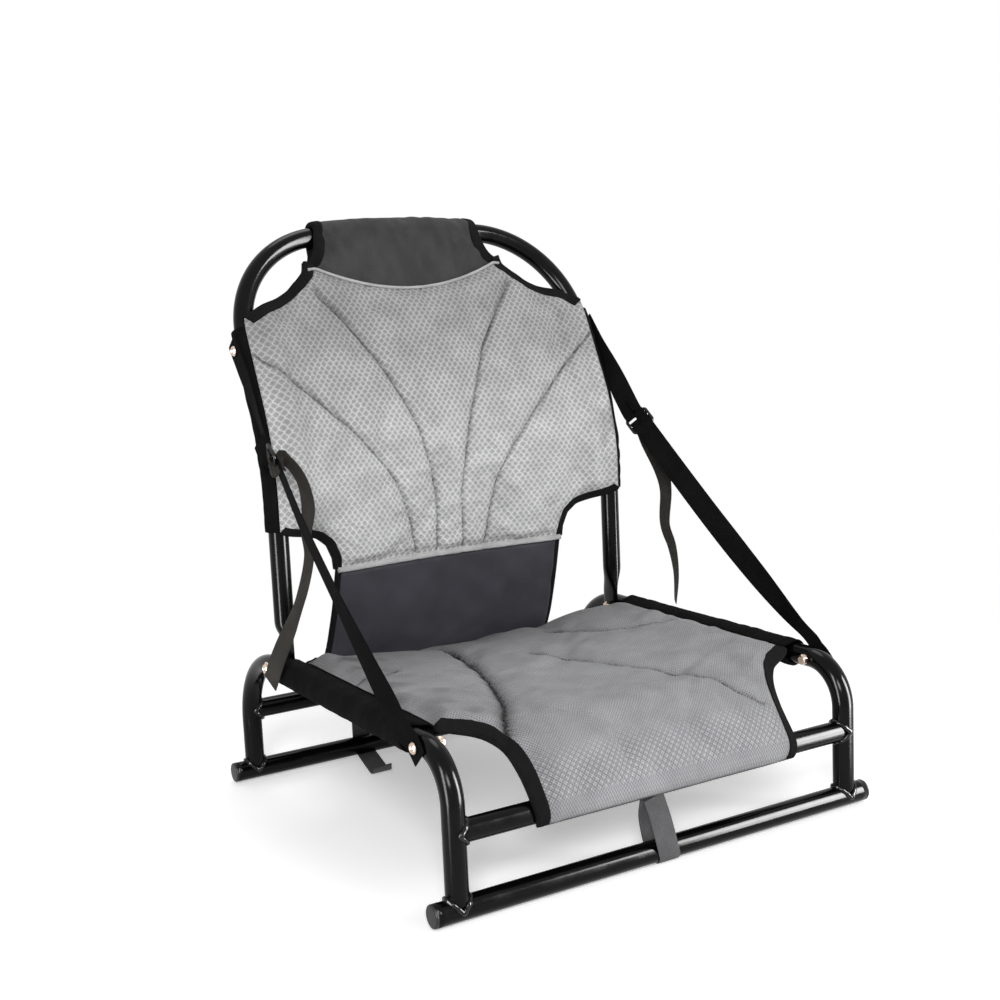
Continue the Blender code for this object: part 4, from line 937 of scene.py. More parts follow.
# Thickness: full between seams, drawn in along them, thin round the tubes and at the rims
def backLift(s, height):
    s, height = np.broadcast_arrays(np.asarray(s, float), np.asarray(height, float))
    side = smoothStep((flatHalf + 0.002 - np.abs(s)) / 0.024)
    side = side * smoothStep((awayFrom(s, height, freeRims) + 0.003) / 0.022)
    bottom = smoothStep((height - padLow) / 0.014)
    upper = smoothStep((padTop + crownAt(s, padTop + 0 * s) - height) / 0.014)
    ends = np.minimum(bottom, upper)
    lift = backLook["rim"] + (backLook["pad"] - backLook["rim"]) * side * (0.30 + 0.70 * ends)
    for n, line in enumerate(backSeams):
        lift = drawnIn(lift, side, s, height, n, line, backLook["seam"])
    soft = 0.0008 * ripple(s, height, 5, 0.09, 8) + 0.00035 * ripple(s, height, 6, 0.03, 10)
    return np.maximum(lift + soft * side * ends, 0.0024)


level = np.linspace(0, 1, 212)[:, None]
s = np.linspace(-1, 1, 230)[None, :] * np.interp(level, *padHalves)
height = padLow + level * (padTop - padLow)
height = height + crownAt(s, height)
front, rear, seamAway = padSkins("backCloth", s, height, backSkin, backLift(s, height), backSeams, freeRims, 0.016)
backPad = slab("backPad", front, rear, np.stack([s, height], -1))
finish(backPad, "back", "mesh_cloth", meshCloth, "back_pad")
# Painted shade: dark along the seams, broken up at random by shadeBreakup, softer beside them, darker towards the top
# and on the left side
shadeBreakup = 0.75 + 0.25 * np.clip(ripple(s, height, 41, 0.02, 8), -1, 1)
crease = backLook["crease"] * near(seamAway, 0.0012) * shadeBreakup + 0.07 * near(seamAway, 0.004)
crease = crease + backLook["topShade"] * smoothStep((levelOf(height) - 0.30) / 0.65)
crease = crease + backLook["leftShade"] * smoothStep(-s / 0.16) * smoothStep((levelOf(height) - 0.1) / 0.4)
dressPad(backPad, np.clip(crease, 0, 0.85), blackCloth)

onBack = [evenly(line, lineStep)[2:-1] for line in backSeams]
onBack = [line[np.abs(line[:, 0]) < flatHalf - 0.001] for line in onBack]
stitches("backStitches", "back", backThread, onBack,
         lambda u, v, up: backSkin(u, v, backLift(u, v) + 0.0002 + up), threadLook)
for n, line in enumerate(freeRims):
    tag, inward = ("right", 1) if n < 2 else ("left", -1)
    if n % 2 == 0:
        beyond = line[-1:] + [[-0.0015 * inward, 0.004], [-0.003 * inward, 0.010]]
        rimTape(tag + "ShoulderBinding", "back", np.concatenate([line, beyond]), inward, 0.0108, backSkin, backLift)
    else:
        rimTape(tag + "LowCornerBinding", "back", line, inward, 0.0075, backSkin, backLift)
print("back pad done")


# Lining: behind the pad and round the outer and rear side of both tubes, loosely wrinkled over them
liningLook = {"cloth": 0.002, "start": radians(50), "stop": pi - 0.32, "wrinkle": 0.0006}
level = np.linspace(0.174, 0.876, 120)[:, None]
z = padLow + level * (padTop - padLow)
centre = backTubeHalf(z)
flat = np.linspace(0, 1, 60)[None, :-1] * (centre - wrapR * sin(liningLook["start"]) - 0.008)
turn = np.linspace(-liningLook["start"], liningLook["stop"], 70)[None, :]
skins = []
for lift in (0.0, liningLook["cloth"]):
    fold = liningLook["wrinkle"] * ripple(z + 0 * turn, 0.012 * turn + 0 * z, 12, 0.030, 12)
    fold = fold * smoothStep((turn + 0.9) / 0.6) * (lift > 0)
    around = wrapR + lift + 0.0002 + np.abs(fold)
    x, out = bothSides(np.concatenate([flat, centre + around * np.sin(turn)], 1),
                       np.concatenate([-backSag(flat * 0.99, z) - 0.0006 - lift, -around * np.cos(turn)], 1))
    skins.append(offBack(x, z + 0 * x, out))
clothWide = alongPath(skins[1][80])
clothLong = float(alongPath(skins[1][:, skins[1].shape[1] // 2])[-1])
backLining = slab("backLining", skins[1], skins[0], np.stack(np.broadcast_arrays(clothWide[None, :], z), -1))
finish(backLining, "back", "black_cloth", blackCloth, "back_lining")
print("back lining flat", round(float(clothWide[-1]), 3), round(clothLong, 3))
print("back lining done")


# Head sleeve: up the front, over the top tube and down behind, with folds drawn across it by the sewing
headLook = {"cloth": 0.0035, "spread": 0.025, "fold": 0.0021, "crest": 0.0050, "shift": -0.006}
low = padTop + 0.0025
drop = (topZ - low) / cos(lean)
climb, over = np.linspace(0, 1, 34)[:-1], np.linspace(0, pi, 40)
acrossHead = np.linspace(-1, 1, 170)[None, :]
# Which way a row swells: straight forward in front, round the tube over it, straight back behind
swellOut = np.concatenate([np.ones(33), np.cos(over), -np.ones(33)])[:, None]
swellUp = np.concatenate([np.zeros(33), np.sin(over), np.zeros(33)])[:, None]
skins = []
for lift in (0.0, headLook["cloth"]):
    around = wrapR + lift
    rise = np.concatenate([-drop * (1 - climb), around * np.sin(over), -drop * (1 - climb[::-1])])[:, None]
    out = np.concatenate([0.0008 * (1 - climb) + wrapR * climb ** 1.3 + lift, around * np.cos(over),
                          -wrapR * climb[::-1] ** 1.3 - 0.0012 * (1 - climb[::-1]) - lift])[:, None]
    level = np.clip(1 + rise / drop, 0, 1)
    x = acrossHead * (headLow - headLook["spread"] * level ** 0.6)
    rise = rise + crownAt(x, padTop) / cos(lean) * np.clip(1 - level * 1.4, 0, 1)
    out = out - backSag(x, low) * (1 - level)
    if lift:
        clothLong = alongPath(np.concatenate([rise[:, :1], out[:, :1]], 1))[:, None]
        fromCrest = clothLong - clothLong.max() / 2
        creases = np.abs(ripple(x * 1.0 + 0.4 * clothLong, clothLong * 0.45, 14, 0.035, 9)) ** 1.3
        fold = headLook["fold"] * (creases - 0.3) + 0.0004 * ripple(x, clothLong, 15, 0.016, 8)
        fold = fold * smoothStep((1 - np.abs(acrossHead)) / 0.05)
        fold = fold * smoothStep(np.minimum(clothLong, clothLong.max() - clothLong) / 0.012)
        bulge = fold * (1 - 0.75 * near(fromCrest, 0.024))
        bulge = bulge + headLook["crest"] * near(fromCrest, 0.030) * (1 - np.abs(acrossHead) ** 2.5)
        out, rise = out + bulge * swellOut, rise + bulge * swellUp
    y, z = topY + rise * sin(lean) - out * cos(lean), topZ + rise * cos(lean) + out * sin(lean)
    skins.append(np.stack(np.broadcast_arrays(x + headLook["shift"] * level, y, z), -1))
headSleeve = slab("headSleeve", skins[1], skins[0], np.stack(np.broadcast_arrays(x, clothLong), -1))
finish(headSleeve, "back", "head_cloth", headCloth, "head_sleeve")

# Black tape down both sides of the head sleeve, folded over its side edges
for tag, first, further in (("left", 0, 4), ("right", -1, -5)):
    edge = skins[1][:, first]
    inward = unit(skins[1][:, further] - edge)
    middle = (edge + skins[0][:, first]) / 2 + inward * 0.0055
    made = swept(tag + "HeadBinding", middle[2:-2], inward[2:-2], ringShape(22, 3.5), 0.0068, 0.0029)
    finish(made, "back", "black_cloth", bindingTape)


# Cloth-covered cord sewn along a level rim of the back, its height in the plane that the back leans in
def cordAlong(name, node, line, wide, thick):
    line = evenly(line, 0.0018)
    along = alongPath(line)
    twist = 1 + 0.05 * np.sin(along * 2 * pi / 0.006) + 0.04 * ripple(along, 0 * along, 21, 0.02)
    made = swept(name, line, (0.0, sin(lean), cos(lean)), ringShape(18), wide * twist, thick * twist)
    return finish(made, "back", "piping_cord", pipingCloth, node)


s = np.linspace(-lowHalf + 0.002, lowHalf - 0.002, 120)
cordAlong("lumbarPiping", "lumbar_piping",
          backSkin(s, padLow - 0.001 + 0 * s, backLift(s, padLow + 0 * s) + 0.0014), 0.0034, 0.0024)
s = np.linspace(-headLow + 0.004, headLow - 0.004, 120)
upper = padTop + 0.0008 + crownAt(s, padTop)
cordAlong("headPiping", "head_piping", backSkin(s, upper, backLift(s, upper) + 0.0014), 0.0018, 0.0018)
print("head sleeve and pipings done")


# Seat sling: a row of the sling's line is (y, z, half width, thickness)

seatLook = {
    "sag": 0.025, "half": 0.213, "sagRun": 0.100, "rim": 0.0028,
    # Strengths of the painted shade: along the seams, in the gathers and folds, towards the rear and on the left side
    "leftCrease": 0.86, "crossCrease": 0.84, "gather": 0.34, "leftFolds": 0.26, "rearShade": 0.38, "leftShade": 0.10,
    "leftSeam": {"dip": 0.62, "wide": 0.011, "power": 1.3, "stitch": 0.14, "stitchWide": 0.0018, "pucker": 0.0009,
                 "step": 0.011, "drift": 70, "reach": 0.012}}
crossSeam = dict(seatLook["leftSeam"], dip=0.15, wide=0.007, pucker=0.0001)


# Dip of the seat: a parabola across, rising in over a short run from both cross tubes
def seatSag(x, y):
    share = smoothStep(np.minimum(y - frontY, rearY - 0.008 - y) / seatLook["sagRun"])
    return seatLook["sag"] * share * np.clip(1 - (x / seatLook["half"]) ** 2, 0, 1)


# Rows of the sling round a cross tube, from an angle in degrees and a distance off its wrap
def wrapRows(foot, rows):
    axis = float(legY(foot, crossZ))
    return [(axis + (wrapR + more) * cos(radians(a)), crossZ + (wrapR + more) * sin(radians(a)), railX - inset, thick)
            for a, more, inset, thick in rows]


# Height at a share of the way from the cross tubes up to the rails
def slopeZ(share):
    return crossZ + (railZ - crossZ) * share


frontSlope = [(-0.0020, 0.261, 0.078, 0.012), (0.0120, 0.507, 0.077, 0.014), (0.0280, 0.783, 0.072, 0.014),
              (0.0420, 0.957, 0.060, 0.014), (0.0530, 1.036, 0.043, 0.013), (0.0620, 1.072, 0.020, 0.012)]
rearSlope = [(0.1240, 1.072, 0.020, 0.012), (0.1140, 1.043, 0.037, 0.013), (0.1010, 0.986, 0.055, 0.013),
             (0.0830, 0.870, 0.067, 0.013), (0.0580, 0.667, 0.075, 0.012), (0.0330, 0.420, 0.078, 0.010),
             (0.0160, 0.232, 0.079, 0.006)]
start, stop = frontY + frontSlope[-1][0], rearY - rearSlope[0][0]
seatRows = wrapRows(frontY, [(-121, 0.0, 0.081, 0.003), (-152, 0.0, 0.080, 0.004), (178, 0.0, 0.079, 0.007),
                             (142, 0.0002, 0.078, 0.010)])
seatRows += [(frontY + y, slopeZ(share), railX - inset, thick) for y, share, inset, thick in frontSlope]
seatRows += [(start + (stop - start) * share, slopeZ(1.094), seatLook["half"], 0.014)
             for share in (0.08, 0.20, 0.35, 0.51, 0.66, 0.81, 0.93)]
seatRows += [(rearY - y, slopeZ(share), railX - inset, thick) for y, share, inset, thick in rearSlope]
seatRows += wrapRows(rearY, [(130, -0.0002, 0.080, 0.003), (87, 0.0002, 0.080, 0.003), (43, 0.0006, 0.080, 0.003),
                             (3, 0.0008, 0.080, 0.003), (-41, 0.0011, 0.080, 0.003)])
seatCurve = curveThrough(seatRows, 0.001)
seatAlong = alongPath(seatCurve[:, :2])
even = np.linspace(0, seatAlong[-1], 400)
seatCurve = np.stack([np.interp(even, seatAlong, seatCurve[:, k]) for k in range(4)], 1)
seatAlong = even
kernel = np.hanning(13) / np.hanning(13).sum()
seatCurve[:, 2] = np.minimum(np.convolve(np.pad(seatCurve[:, 2], 6, mode="edge"), kernel, "valid"), seatLook["half"])
seatAhead = headings(seatCurve[:, :2])

# Point of the sling: x across, t along its line from under the front cross tube, lifted square to the line
def seatSkin(x, t, lift):
    y, z = (np.interp(t, seatAlong, seatCurve[:, k]) for k in (0, 1))
    ny, nz = -np.interp(t, seatAlong, seatAhead[:, 1]), np.interp(t, seatAlong, seatAhead[:, 0])
    size = np.hypot(ny, nz)
    return np.stack(np.broadcast_arrays(x, y + ny / size * lift, z - seatSag(x, y) + nz / size * lift), -1)


# Distance along the sling of a depth measured back from the front foot tube
topPart = (seatAlong > 0.030) & (seatCurve[:, 0] < rearY - 0.004)


def seatT(depth):
    return np.interp(np.asarray(depth) + frontY, seatCurve[topPart, 0], seatAlong[topPart])


# Smooth seam of (x, t) through points of (x, depth)
def seatLine(points):
    points = np.array(points, float)
    return curveThrough(np.stack([points[:, 0], seatT(points[:, 1])], 1), 0.003)


# The left seam, then the three cross seams, as (x, depth)
seatSeams = [seatLine(points) for points in (
    [(-0.048, 0.372), (-0.043, 0.330), (-0.050, 0.278), (-0.069, 0.208), (-0.106, 0.120), (-0.145, 0.055),
     (-0.168, 0.022)],
    [(0.022, 0.272), (0.038, 0.243), (0.050, 0.205), (0.070, 0.140), (0.084, 0.112), (0.094, 0.068), (0.106, 0.032),
     (0.131, 0.016)],
    [(-0.239, 0.205), (-0.221, 0.223), (-0.189, 0.24), (-0.150, 0.262)],
    [(0.085, 0.335), (0.124, 0.280), (0.166, 0.250), (0.190, 0.230), (0.207, 0.216)])]
seatHalfAt = seatCurve[:, 2]
seatRim = np.stack([seatHalfAt, seatAlong], 1)
frontCut = seatRim[(seatCurve[:, 0] < start + 0.004) & (seatAlong > 0.004)]
rearCut = seatRim[(seatCurve[:, 0] > stop - 0.004) & (seatAlong < seatAlong[-1] - 0.004)]
seatRims = [frontCut, rearCut, frontCut * (-1, 1), rearCut * (-1, 1)]


# Thickness: as the sling's line says, drawn in along the seams and thin at the rims
def seatLift(x, t):
    x, t = np.broadcast_arrays(np.asarray(x, float), np.asarray(t, float))
    thick = np.interp(t, seatAlong, seatCurve[:, 3])
    away = np.minimum(np.interp(t, seatAlong, seatHalfAt) - np.abs(x), awayFrom(x, t, seatRims))
    side = smoothStep((away + 0.004) / 0.026)
    rim = np.minimum(thick, seatLook["rim"])
    lift = rim + (thick - rim) * side
    for n, line in enumerate(seatSeams):
        lift = drawnIn(lift, side, x, t, n, line, crossSeam if n else seatLook["leftSeam"])
    soft = 0.0010 * ripple(x, t, 8, 0.10, 8) + 0.0004 * ripple(x, t, 9, 0.035, 10)
    return np.maximum(lift + soft * side * smoothStep(thick / 0.012), np.minimum(thick, 0.0022))


t = np.linspace(0, seatAlong[-1], 250)[:, None]
x = np.linspace(-1, 1, 188)[None, :] * np.interp(t, seatAlong, seatHalfAt)
t = t + 0 * x
front, rear, seamAway = padSkins("seatCloth", x, t, seatSkin, seatLift(x, t), seatSeams, seatRims, 0.012)
seatPad = slab("seatPad", front, rear, np.stack([x, t], -1))
finish(seatPad, "base", "seat_cloth", seatCloth, "seat_pad")
leftAway, leftAlong = toLine(x, t, seatSeams[0])
crossAway = awayFrom(x, t, seatSeams[1:])
depth = seatSkin(x, t, 0 * t)[..., 1] - frontY
# Painted shade: dark along the left and cross seams, broken up at random by shadeBreakup, in the gathers beside the
# left seam, in folds by the left rail, towards the rear and on the left side. The sling's first 5 mm under the front
# cross tube is made nearly black
shadeBreakup = 0.75 + 0.25 * np.clip(ripple(x, t, 42, 0.02, 8), -1, 1)
gather = 0.5 + 0.5 * np.sin(2 * pi * leftAlong / 0.0062)
leftFolds = np.clip(ripple(x * 0.5, t, 51, 0.026, 7), 0, 1.4)
crease = seatLook["leftCrease"] * near(leftAway, 0.0026) + 0.25 * near(leftAway, 0.009)
crease = crease + seatLook["gather"] * gather * near(leftAway - 0.004, 0.004)
crease = crease + seatLook["crossCrease"] * near(crossAway, 0.0013) * shadeBreakup + 0.10 * near(crossAway, 0.005)
crease = crease + seatLook["leftFolds"] * leftFolds * smoothStep((-x - 0.10) / 0.09)
crease = crease + seatLook["rearShade"] * smoothStep((depth - 0.20) / 0.17)
crease = crease + seatLook["leftShade"] * smoothStep((-x - 0.06) / 0.10)
crease = np.maximum(crease, 0.97 * smoothStep((0.0052 - t) / 0.0012))
dressPad(seatPad, np.clip(crease, 0, 0.97), blackCloth)
onSeat = [line[np.abs(line[:, 0]) < np.interp(line[:, 1], seatAlong, seatHalfAt) - 0.010] for line in seatSeams]
stitches("seatStitches", "base", seatThread, onSeat,
         lambda u, v, up: seatSkin(u, v, seatLift(u, v) + 0.0002 + up), threadLook)
for n, line in enumerate(seatRims):
    tag, inward = ("right", 1) if n < 2 else ("left", -1)
    rimTape(tag + ("Front", "Rear")[n % 2] + "SeatBinding", "base", line, inward, 0.011, seatSkin, seatLift)
print("seat pad done")


# Seat lining: under the pad, round both rails and back up to the pad's edges
y = np.linspace(frontY + 0.070, rearY - 0.112, 110)[:, None]
under = np.interp(y, seatCurve[topPart, 0], seatCurve[topPart, 1]) - 0.0006
flat = np.linspace(0, seatLook["half"] - 0.010, 50)[None, :]
turn = np.linspace(radians(-62), radians(188), 90)[None, :]
skins = []
for lift in (0.0, 0.002):
    fold = 0.0006 * ripple(y + 0 * turn, 0.012 * turn + 0 * y, 17, 0.035, 12) * (lift > 0)
    fold = np.abs(fold) * smoothStep((turn + 1.0) / 0.5)
    around = wrapR + lift + fold
    hem = seatLook["half"] + 0.0035 + 0 * y
    below = under - lift - 0.0009 * flat / seatLook["half"] - seatSag(flat, y)
    x, z = bothSides(np.concatenate([flat + 0 * y, railX + around * np.sin(turn), hem], 1),
                     np.concatenate([below, railZ - around * np.cos(turn), railZ + wrapR - 0.0034 + lift + 0 * y], 1))
    skins.append(np.stack(np.broadcast_arrays(x, y, z), -1))
clothWide, clothLong = alongPath(skins[1][70]), float(np.ptp(y))
seatLining = slab("seatLining", skins[0], skins[1], np.stack(np.broadcast_arrays(clothWide[None, :], y), -1))
finish(seatLining, "base", "black_cloth", blackCloth, "seat_lining")
print("seat lining flat", round(float(clothWide[-1]), 3), round(clothLong, 3))
print("seat lining done")


# Lumbar panel, hanging from the pad's lower edge down to the seat

lumbarLook = {"top": padLow - 0.0005, "low": railZ - 0.022, "y": rearY - 0.049, "thick": 0.006}
share = np.linspace(0, 1, 110)[:, None]
across = np.linspace(-1, 1, 160)[None, :]
back, down, wider = (np.interp(share * 3, range(4), column) for column in
                     zip((0.0, 0.0, 0.0), (0.30, 0.41, 0.2), (0.65, 0.76, 0.6), (1.0, 1.0, 1.0)))
back, down = ((soft - soft[0]) / (soft[-1] - soft[0]) for soft in (blurred(back, 120), blurred(down, 120)))
x = across * (lowHalf - 0.002 + 0.005 * wider)
flatten = 1 - 0.75 * share
y = pivotY + (lumbarLook["y"] - pivotY) * back + backSag(x, padLow) * flatten + slingSag[0][1] * 0.9 * (1 - flatten)
z = lumbarLook["top"] - (lumbarLook["top"] - lumbarLook["low"] + seatSag(x, lumbarLook["y"])) * down
crease = 0.0010 * ripple(x, share * 0.12, 23, 0.10, 7) + 0.0004 * ripple(x * 0.5, share * 0.12, 24, 0.03, 7)
edge = smoothStep((1 - np.abs(across)) / 0.05) * smoothStep(np.minimum(share, 1 - share) / 0.08)
thick = lumbarLook["thick"] * (0.5 + 0.5 * edge) + crease * edge
rear = np.stack(np.broadcast_arrays(x, y, z), -1)
front = np.stack(np.broadcast_arrays(x, y - thick * 0.93, z - thick * 0.3), -1)
lumbarPanel = slab("lumbarPanel", front, rear, np.stack(np.broadcast_arrays(x, share * 0.13), -1))
dress(lumbarPanel, "lumbar_cloth", lumbarCloth, "lumbar_panel")
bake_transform(lumbarPanel)
middle = (front + rear) / 2
for tag, first, further in (("left", 0, 6), ("right", -1, -7)):
    edge = middle[:, first]
    inward = unit(middle[:, further] - edge)
    path = (edge + inward * 0.0028)[1:-1]
    made = swept(tag + "LumbarBinding", path, inward[1:-1], ringShape(18, 3), 0.0040, 0.0031)
    dress(made, "black_cloth", bindingTape)
    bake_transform(made)
print("lumbar panel done")


# Straps and buckles

strapLook = {"wide": 0.025, "thick": 0.0015, "share": 0.764, "drop": 0.0305, "gap": 0.0003, "cloth": 0.002}
buckleLook = {"wide": 0.031, "bar": 0.0035, "slot": 0.0070, "thick": 0.003}
bar, slotGap = buckleLook["bar"], buckleLook["slot"]
flush = strapLook["gap"] + strapLook["thick"] / 2  # middle of a strap above what it lies on
bed = buckleLook["thick"] / 2 + flush
buckleY = boltY + (screwY - boltY) * strapLook["share"]
buckleZ = railZ + (screwZ - railZ) * strapLook["share"] - strapLook["drop"]
buckleX = (railX + backTubeX) / 2 + tubeR + strapLook["cloth"]
strapRun = np.array((buckleY - boltY, buckleZ - railZ))
strapDir = strapRun / np.hypot(*strapRun)
runDir = np.array([0.0, *strapDir])
wideDir = np.array([0.0, -strapDir[1], strapDir[0]])
acrossDir = np.array([1.0, 0.0, 0.0])


# Directions of a buckle turned about the strap's run: across its width, and out of its outer face
def buckleAxes(sign, turn):
    return wideDir * cos(turn) + acrossDir * sin(turn), (acrossDir * cos(turn) - wideDir * sin(turn)) * sign


# Points given from the buckle's centre: along the strap, out of the buckle's face
def buckleLine(sign, turn, points):
    centre = np.array([sign * buckleX, buckleY, buckleZ])
    out = buckleAxes(sign, turn)[1]
    return [tuple(centre + runDir * along + out * away) for along, away in points]


# Half a turn round a bar of the buckle, from its inner side to its outer side
def roundBar(start, way):
    return [(start + way * bed * sin(pi * k / 6), -bed * cos(pi * k / 6)) for k in range(7)]


# Width direction of a strap turned about its run: at no turn it lies flat against the tubes
def strapWide(path, turn):
    ahead = headings(path)
    flat = unit(np.cross(ahead, acrossDir))
    turn = np.asarray(turn)[:, None]
    return flat * np.cos(turn) + np.cross(flat, ahead) * np.sin(turn)


# Flat webbing along a line, with rounded edges
def ribbon(name, path, hint, material, *nodes, wide=strapLook["wide"], thick=strapLook["thick"]):
    return dress(swept(name, path, hint, ringShape(24, 5), wide / 2, thick / 2), "webbing", material, *nodes)


# Turns in degrees: at the buckle, and along the main strap as (share from its bolt, turn)
strapTurns = {"right": (40, [(0, 0), (0.04, 0), (0.11, -24), (0.20, -6), (0.32, 16), (0.50, 38), (1, 40)]),
              "left": (-14, [(0, 0), (0.05, 4), (0.15, 16), (0.30, 4), (0.50, -8), (1, -14)])}
# Free tails below the buckles, as points in the shared frame with the turn of the webbing at each
tails = {
    "right": [(0.2480, 0.0915, 0.3622, 30), (0.2555, 0.0800, 0.3284, 10), (0.2575, 0.0745, 0.2998, -4),
              (0.2560, 0.0760, 0.2602, -10), (0.2600, 0.0680, 0.2312, -14), (0.2620, 0.0640, 0.1984, -24),
              (0.2615, 0.0660, 0.1632, -34)],
    "left": [(-0.2290, 0.0880, 0.3850, -6), (-0.2160, 0.0800, 0.3640, 4), (-0.2110, 0.0790, 0.3349, 10),
             (-0.2150, 0.0790, 0.3074, 2), (-0.2150, 0.0760, 0.2814, 0), (-0.2260, 0.0740, 0.2452, 0),
             (-0.2420, 0.0720, 0.2124, 4), (-0.2530, 0.0830, 0.1804, 6), (-0.2560, 0.1060, 0.1461, 8)]}
turnScale = 0.0001  # a tail's turn goes along its curve as a fourth coordinate, too small to count as length
for tag, sign in sides:
    lockTurn, mainTurns = radians(strapTurns[tag][0]), np.array(strapTurns[tag][1])
    topBar = bar + slotGap
    x = backTubeX + wrapR + strapLook["cloth"] + flush
    path = [(sign * x, screwY + 0.0085, screwZ + 0.0105), (sign * x, screwY, screwZ),
            (sign * x, screwY - 0.010, screwZ - 0.012), (sign * (x + 0.0004), screwY - 0.035, screwZ - 0.042)]
    path += buckleLine(sign, lockTurn, [(topBar + 0.012, -bed)] + roundBar(topBar - bar * 0.3, -1)
                       + [(topBar + 0.010, bed), (topBar + 0.022, bed - 0.0008)])
    path = curveThrough(path, 0.002)
    turns = lockTurn * smoothStep((np.linspace(0, 1, len(path)) - 0.2) / 0.45)
    upper = ribbon(tag + "UpperStrap", path, strapWide(path, turns), blackWebbing, tag + "_upper_strap")
    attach(upper, "back")

    x = railX + tubeR + flush
    over = railX + wrapR + strapLook["cloth"] + flush
    reach, slope = buckleY - boltY, (buckleZ - railZ) / (buckleY - boltY)
    path = [(sign * x, boltY - 0.0085, railZ - 0.0085), (sign * x, boltY, railZ),
            (sign * x, boltY + 0.006, railZ + 0.006 * slope), (sign * over, boltY + 0.020, railZ + 0.020 * slope)]
    path += [(sign * (over + (buckleX - over) * share), boltY + reach * share * 0.95,
              railZ + reach * slope * share * 0.95 - 0.006 * sin(pi * share)) for share in (0.2, 0.4, 0.6, 0.8)]
    path += buckleLine(sign, lockTurn, [(-0.018, -bed), (-0.008, -bed)] + roundBar(bar * 0.3, 1))
    path = curveThrough(path, 0.002)
    turns = radians(1) * np.interp(np.linspace(0, 1, len(path)), *mainTurns.T)
    turns = np.convolve(np.pad(turns, 6, mode="edge"), np.full(13, 1 / 13), "valid")
    main = ribbon(tag + "MainStrap", path, strapWide(path, -turns), blackWebbing, tag + "_main_strap")
    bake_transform(main)

    path = buckleLine(sign, lockTurn, [(0.006, bed), (-0.002, bed + 0.0003), (-0.010, bed + 0.0010)])
    knots = np.array([place + (strapTurns[tag][0],) for place in path] + tails[tag])
    path = curveThrough(knots * (1, 1, 1, turnScale), 0.002)
    path, turns = path[:, :3], radians(1) * path[:, 3] / turnScale
    tail = ribbon(tag + "StrapTail", path, strapWide(path, turns), tailWebbing)
    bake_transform(tail)

    centre = np.array([sign * buckleX, buckleY, buckleZ])
    wideAxis, outAxis = buckleAxes(sign, lockTurn)
    halfLong, halfWide = 1.5 * bar + slotGap - bar / 2, buckleLook["wide"] / 2 - 0.0015
    corners = [(-halfLong, 0), (-halfLong, halfWide), (halfLong, halfWide), (halfLong, -halfWide),
               (-halfLong, -halfWide), (-halfLong, 0)]
    loop = bentLine([(a, b, 0) for a, b in corners], [0.003] * 4, radians(8))[:-1]
    loop = centre + loop[:, :1] * runDir + loop[:, 1:2] * wideAxis
    side, up = squareTo(np.concatenate([loop[-1:], loop, loop[:1]]), outAxis)
    points = ringsRound(loop, side[1:-1], up[1:-1], ringShape(16, 2.6), 0.0015, 0.0019)
    quads, places = gridQuads(len(loop), 16, wrapAcross=True, wrapAlong=True)
    lock = addMesh(tag + "LadderLock", points, quads, places * 0.0007)
    finish(lock, "back", "plastic", lockPlastic, tag + "_ladder_lock")
    for name, at, material, slotName in (("LowBar", -halfLong + 0.0002, lockPlastic, "plastic"),
                                         ("MidBar", 0.0, boltSteel, "fastener_steel"),
                                         ("TopBar", halfLong - 0.0002, lockPlastic, "plastic")):
        line = [centre + runDir * at - wideAxis * halfWide, centre + runDir * at + wideAxis * halfWide]
        made = swept(tag + name, evenly(line, 0.002), outAxis, ringShape(16, 2.4), 0.00145, 0.0019)
        finish(made, "back", slotName, material)
print("straps done")


# Loops under the foot tubes, on (y, z) points from a cross tube's underside round the foot tube
loopLook = {"wide": 0.024, "thick": 0.0012}
loopReach, loopTop, waist = tubeR + 0.00075, crossZ - tubeR - 0.0015, (footZ + crossZ) / 2 - 0.0025


# Arc under a foot tube, half a turn in ten steps, from the side that way says
def underFoot(way, count):
    return [(way * loopReach * cos(pi * k / 10), footZ - loopReach * sin(pi * k / 10)) for k in range(count)]


# One loop, riding on the base
def holdDown(tag, points):
    made = ribbon(tag + "HoldDown", curveThrough(points, 0.0015), (1, 0, 0), loopWebbing,
                  tag + "_hold_down_strap", wide=loopLook["wide"], thick=loopLook["thick"])
    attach(made, "base")


flat = [(-0.0085, loopTop), (-loopReach, waist)] + underFoot(-1, 11) + [(0.0085, waist), (-0.0035, loopTop)]
holdDown("front", [(-0.012 - 0.25 * (z - 0.035), frontY + y, z) for y, z in flat])
flat = [(0.0095, loopTop), (loopReach, waist)] + underFoot(1, 6)
flat += [(-0.022, 0.0006), (-0.050, 0.0008), (-0.073, 0.0016), (-0.085, 0.0055), (-0.0885, 0.0125)]
holdDown("rear", [(-0.090 - 0.25 * max(0, -y), rearY + y, z) for y, z in flat])
print("hold-down straps done")


# Camera, floor and light

# Axes as columns, and the place they are moved to
def putAt(thing, axes, place):
    placed = np.eye(4)
    placed[:3, :3] = np.stack(axes, 1)
    placed[:3, 3] = place
    thing.matrix_world = Matrix(placed.tolist())
    bpy.context.collection.objects.link(thing)


cameraLook = {"place": (-0.8057, -1.3087, 0.5567), "yaw": radians(30.89), "pitch": radians(8.5),
              "roll": radians(-2.54), "lens": 51.73}
yaw, pitch, roll = cameraLook["yaw"], cameraLook["pitch"], cameraLook["roll"]
ahead = np.array([sin(yaw) * cos(pitch), cos(yaw) * cos(pitch), -sin(pitch)])
right = np.array([cos(yaw), -sin(yaw), 0.0])
up = np.cross(right, ahead)
camera = bpy.data.objects.new("camera", bpy.data.cameras.new("camera"))
camera.data.lens = cameraLook["lens"]
camera.data.sensor_width = 36
putAt(camera, [right * cos(roll) + up * sin(roll), up * cos(roll) - right * sin(roll), -ahead], cameraLook["place"])
bpy.context.scene.camera = camera


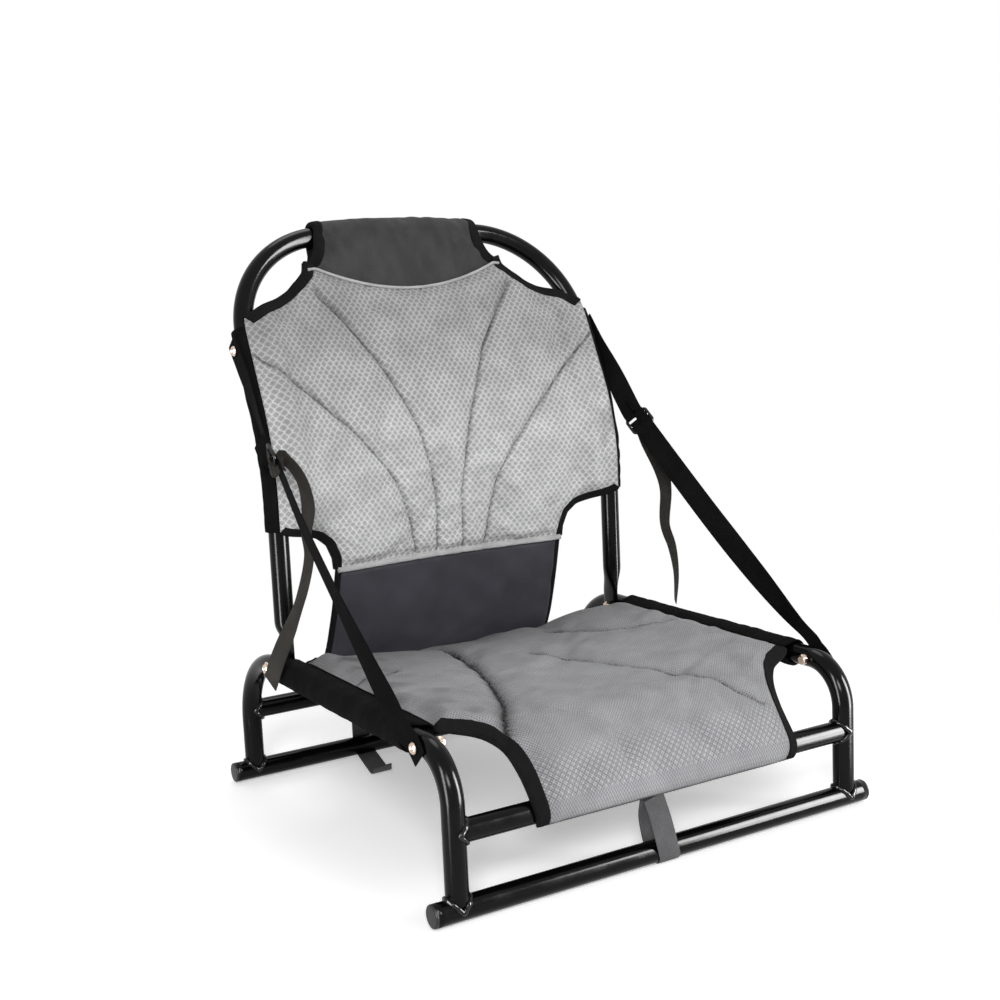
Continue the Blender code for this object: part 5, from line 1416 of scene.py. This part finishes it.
# Lamp that faces a target: a disk, or a tall strip that only gloss shows
def lamp(name, place, target, size, power, tall=None):
    made = bpy.data.objects.new(name, bpy.data.lights.new(name, "AREA"))
    made.data.shape = "DISK" if tall is None else "RECTANGLE"
    made.data.size = size
    if tall is not None:
        made.data.size_y = tall
        made.visible_diffuse = False
        made.visible_camera = False
    made.data.energy = power
    back = unit(np.array(place, float) - target)
    side = unit(np.cross((0, 0, 1.0), back))
    putAt(made, [side, np.cross(back, side), back], place)

aim = (0, 0, 0.25)
lamp("keyLamp", (-1.5, -2.3, 1.55), aim, 0.9, 58)
lamp("fillLamp", (1.9, -1.9, 1.0), aim, 0.9, 26)
lamp("topLamp", (0.4, 0.9, 2.7), aim, 1.3, 16)
lamp("leftStrip", (-2.4, -0.9, 0.3), aim, 0.6, 190, 3.2)
lamp("rightStrip", (1.75, -1.85, 0.3), aim, 0.9, 460, 3.2)

floorSize, floorZ = 12.0, -0.0003
floor = addMesh("floor", [(-floorSize, -floorSize, floorZ), (floorSize, -floorSize, floorZ),
                          (floorSize, floorSize, floorZ), (-floorSize, floorSize, floorZ)],
                [[0, 1, 2, 3]], np.array([[[0, 0], [1, 0], [1, 1], [0, 1]]]), closed=False)
floorMade, floorTree, floorShader = newMaterial("floorPaper", 0.9, shine=0.0)
floorShader.inputs["Base Color"].default_value = (0.93, 0.93, 0.93, 1)
floorShader.inputs["Emission Color"].default_value = (1, 1, 1, 1)
floorShader.inputs["Emission Strength"].default_value = 0.35
spot = vectors(floorTree, "LENGTH", coordinates(floorTree, "Object"))
clear = floorTree.nodes.new("ShaderNodeBsdfTransparent")
blendOut = floorTree.nodes.new("ShaderNodeMixShader")
wire(floorTree, spread(floorTree, spot, 0.40, 0.95, 0.0, 1.0), blendOut.inputs[0])
wire(floorTree, floorShader.outputs[0], blendOut.inputs[1])
wire(floorTree, clear.outputs[0], blendOut.inputs[2])
wire(floorTree, blendOut.outputs[0], floorTree.nodes["Material Output"].inputs["Surface"])
floor.data.materials.append(floorMade)

# White studio: full strength to the camera and in reflections, less as light
world = bpy.data.worlds.new("studio")
bpy.context.scene.world = world
world.use_nodes = True
skyTree = world.node_tree
sky, ray = skyTree.nodes["Background"], skyTree.nodes.new("ShaderNodeLightPath")
seen = maths(skyTree, "MAXIMUM", ray.outputs["Is Camera Ray"],
             maths(skyTree, "MAXIMUM", ray.outputs["Is Glossy Ray"], ray.outputs["Is Transmission Ray"]))
sky.inputs["Color"].default_value = (1, 1, 1, 1)
wire(skyTree, maths(skyTree, "ADD", times(skyTree, seen, 0.60), 0.40), sky.inputs["Strength"])
bpy.context.scene.view_settings.view_transform = "Standard"
print("camera, floor and light done")
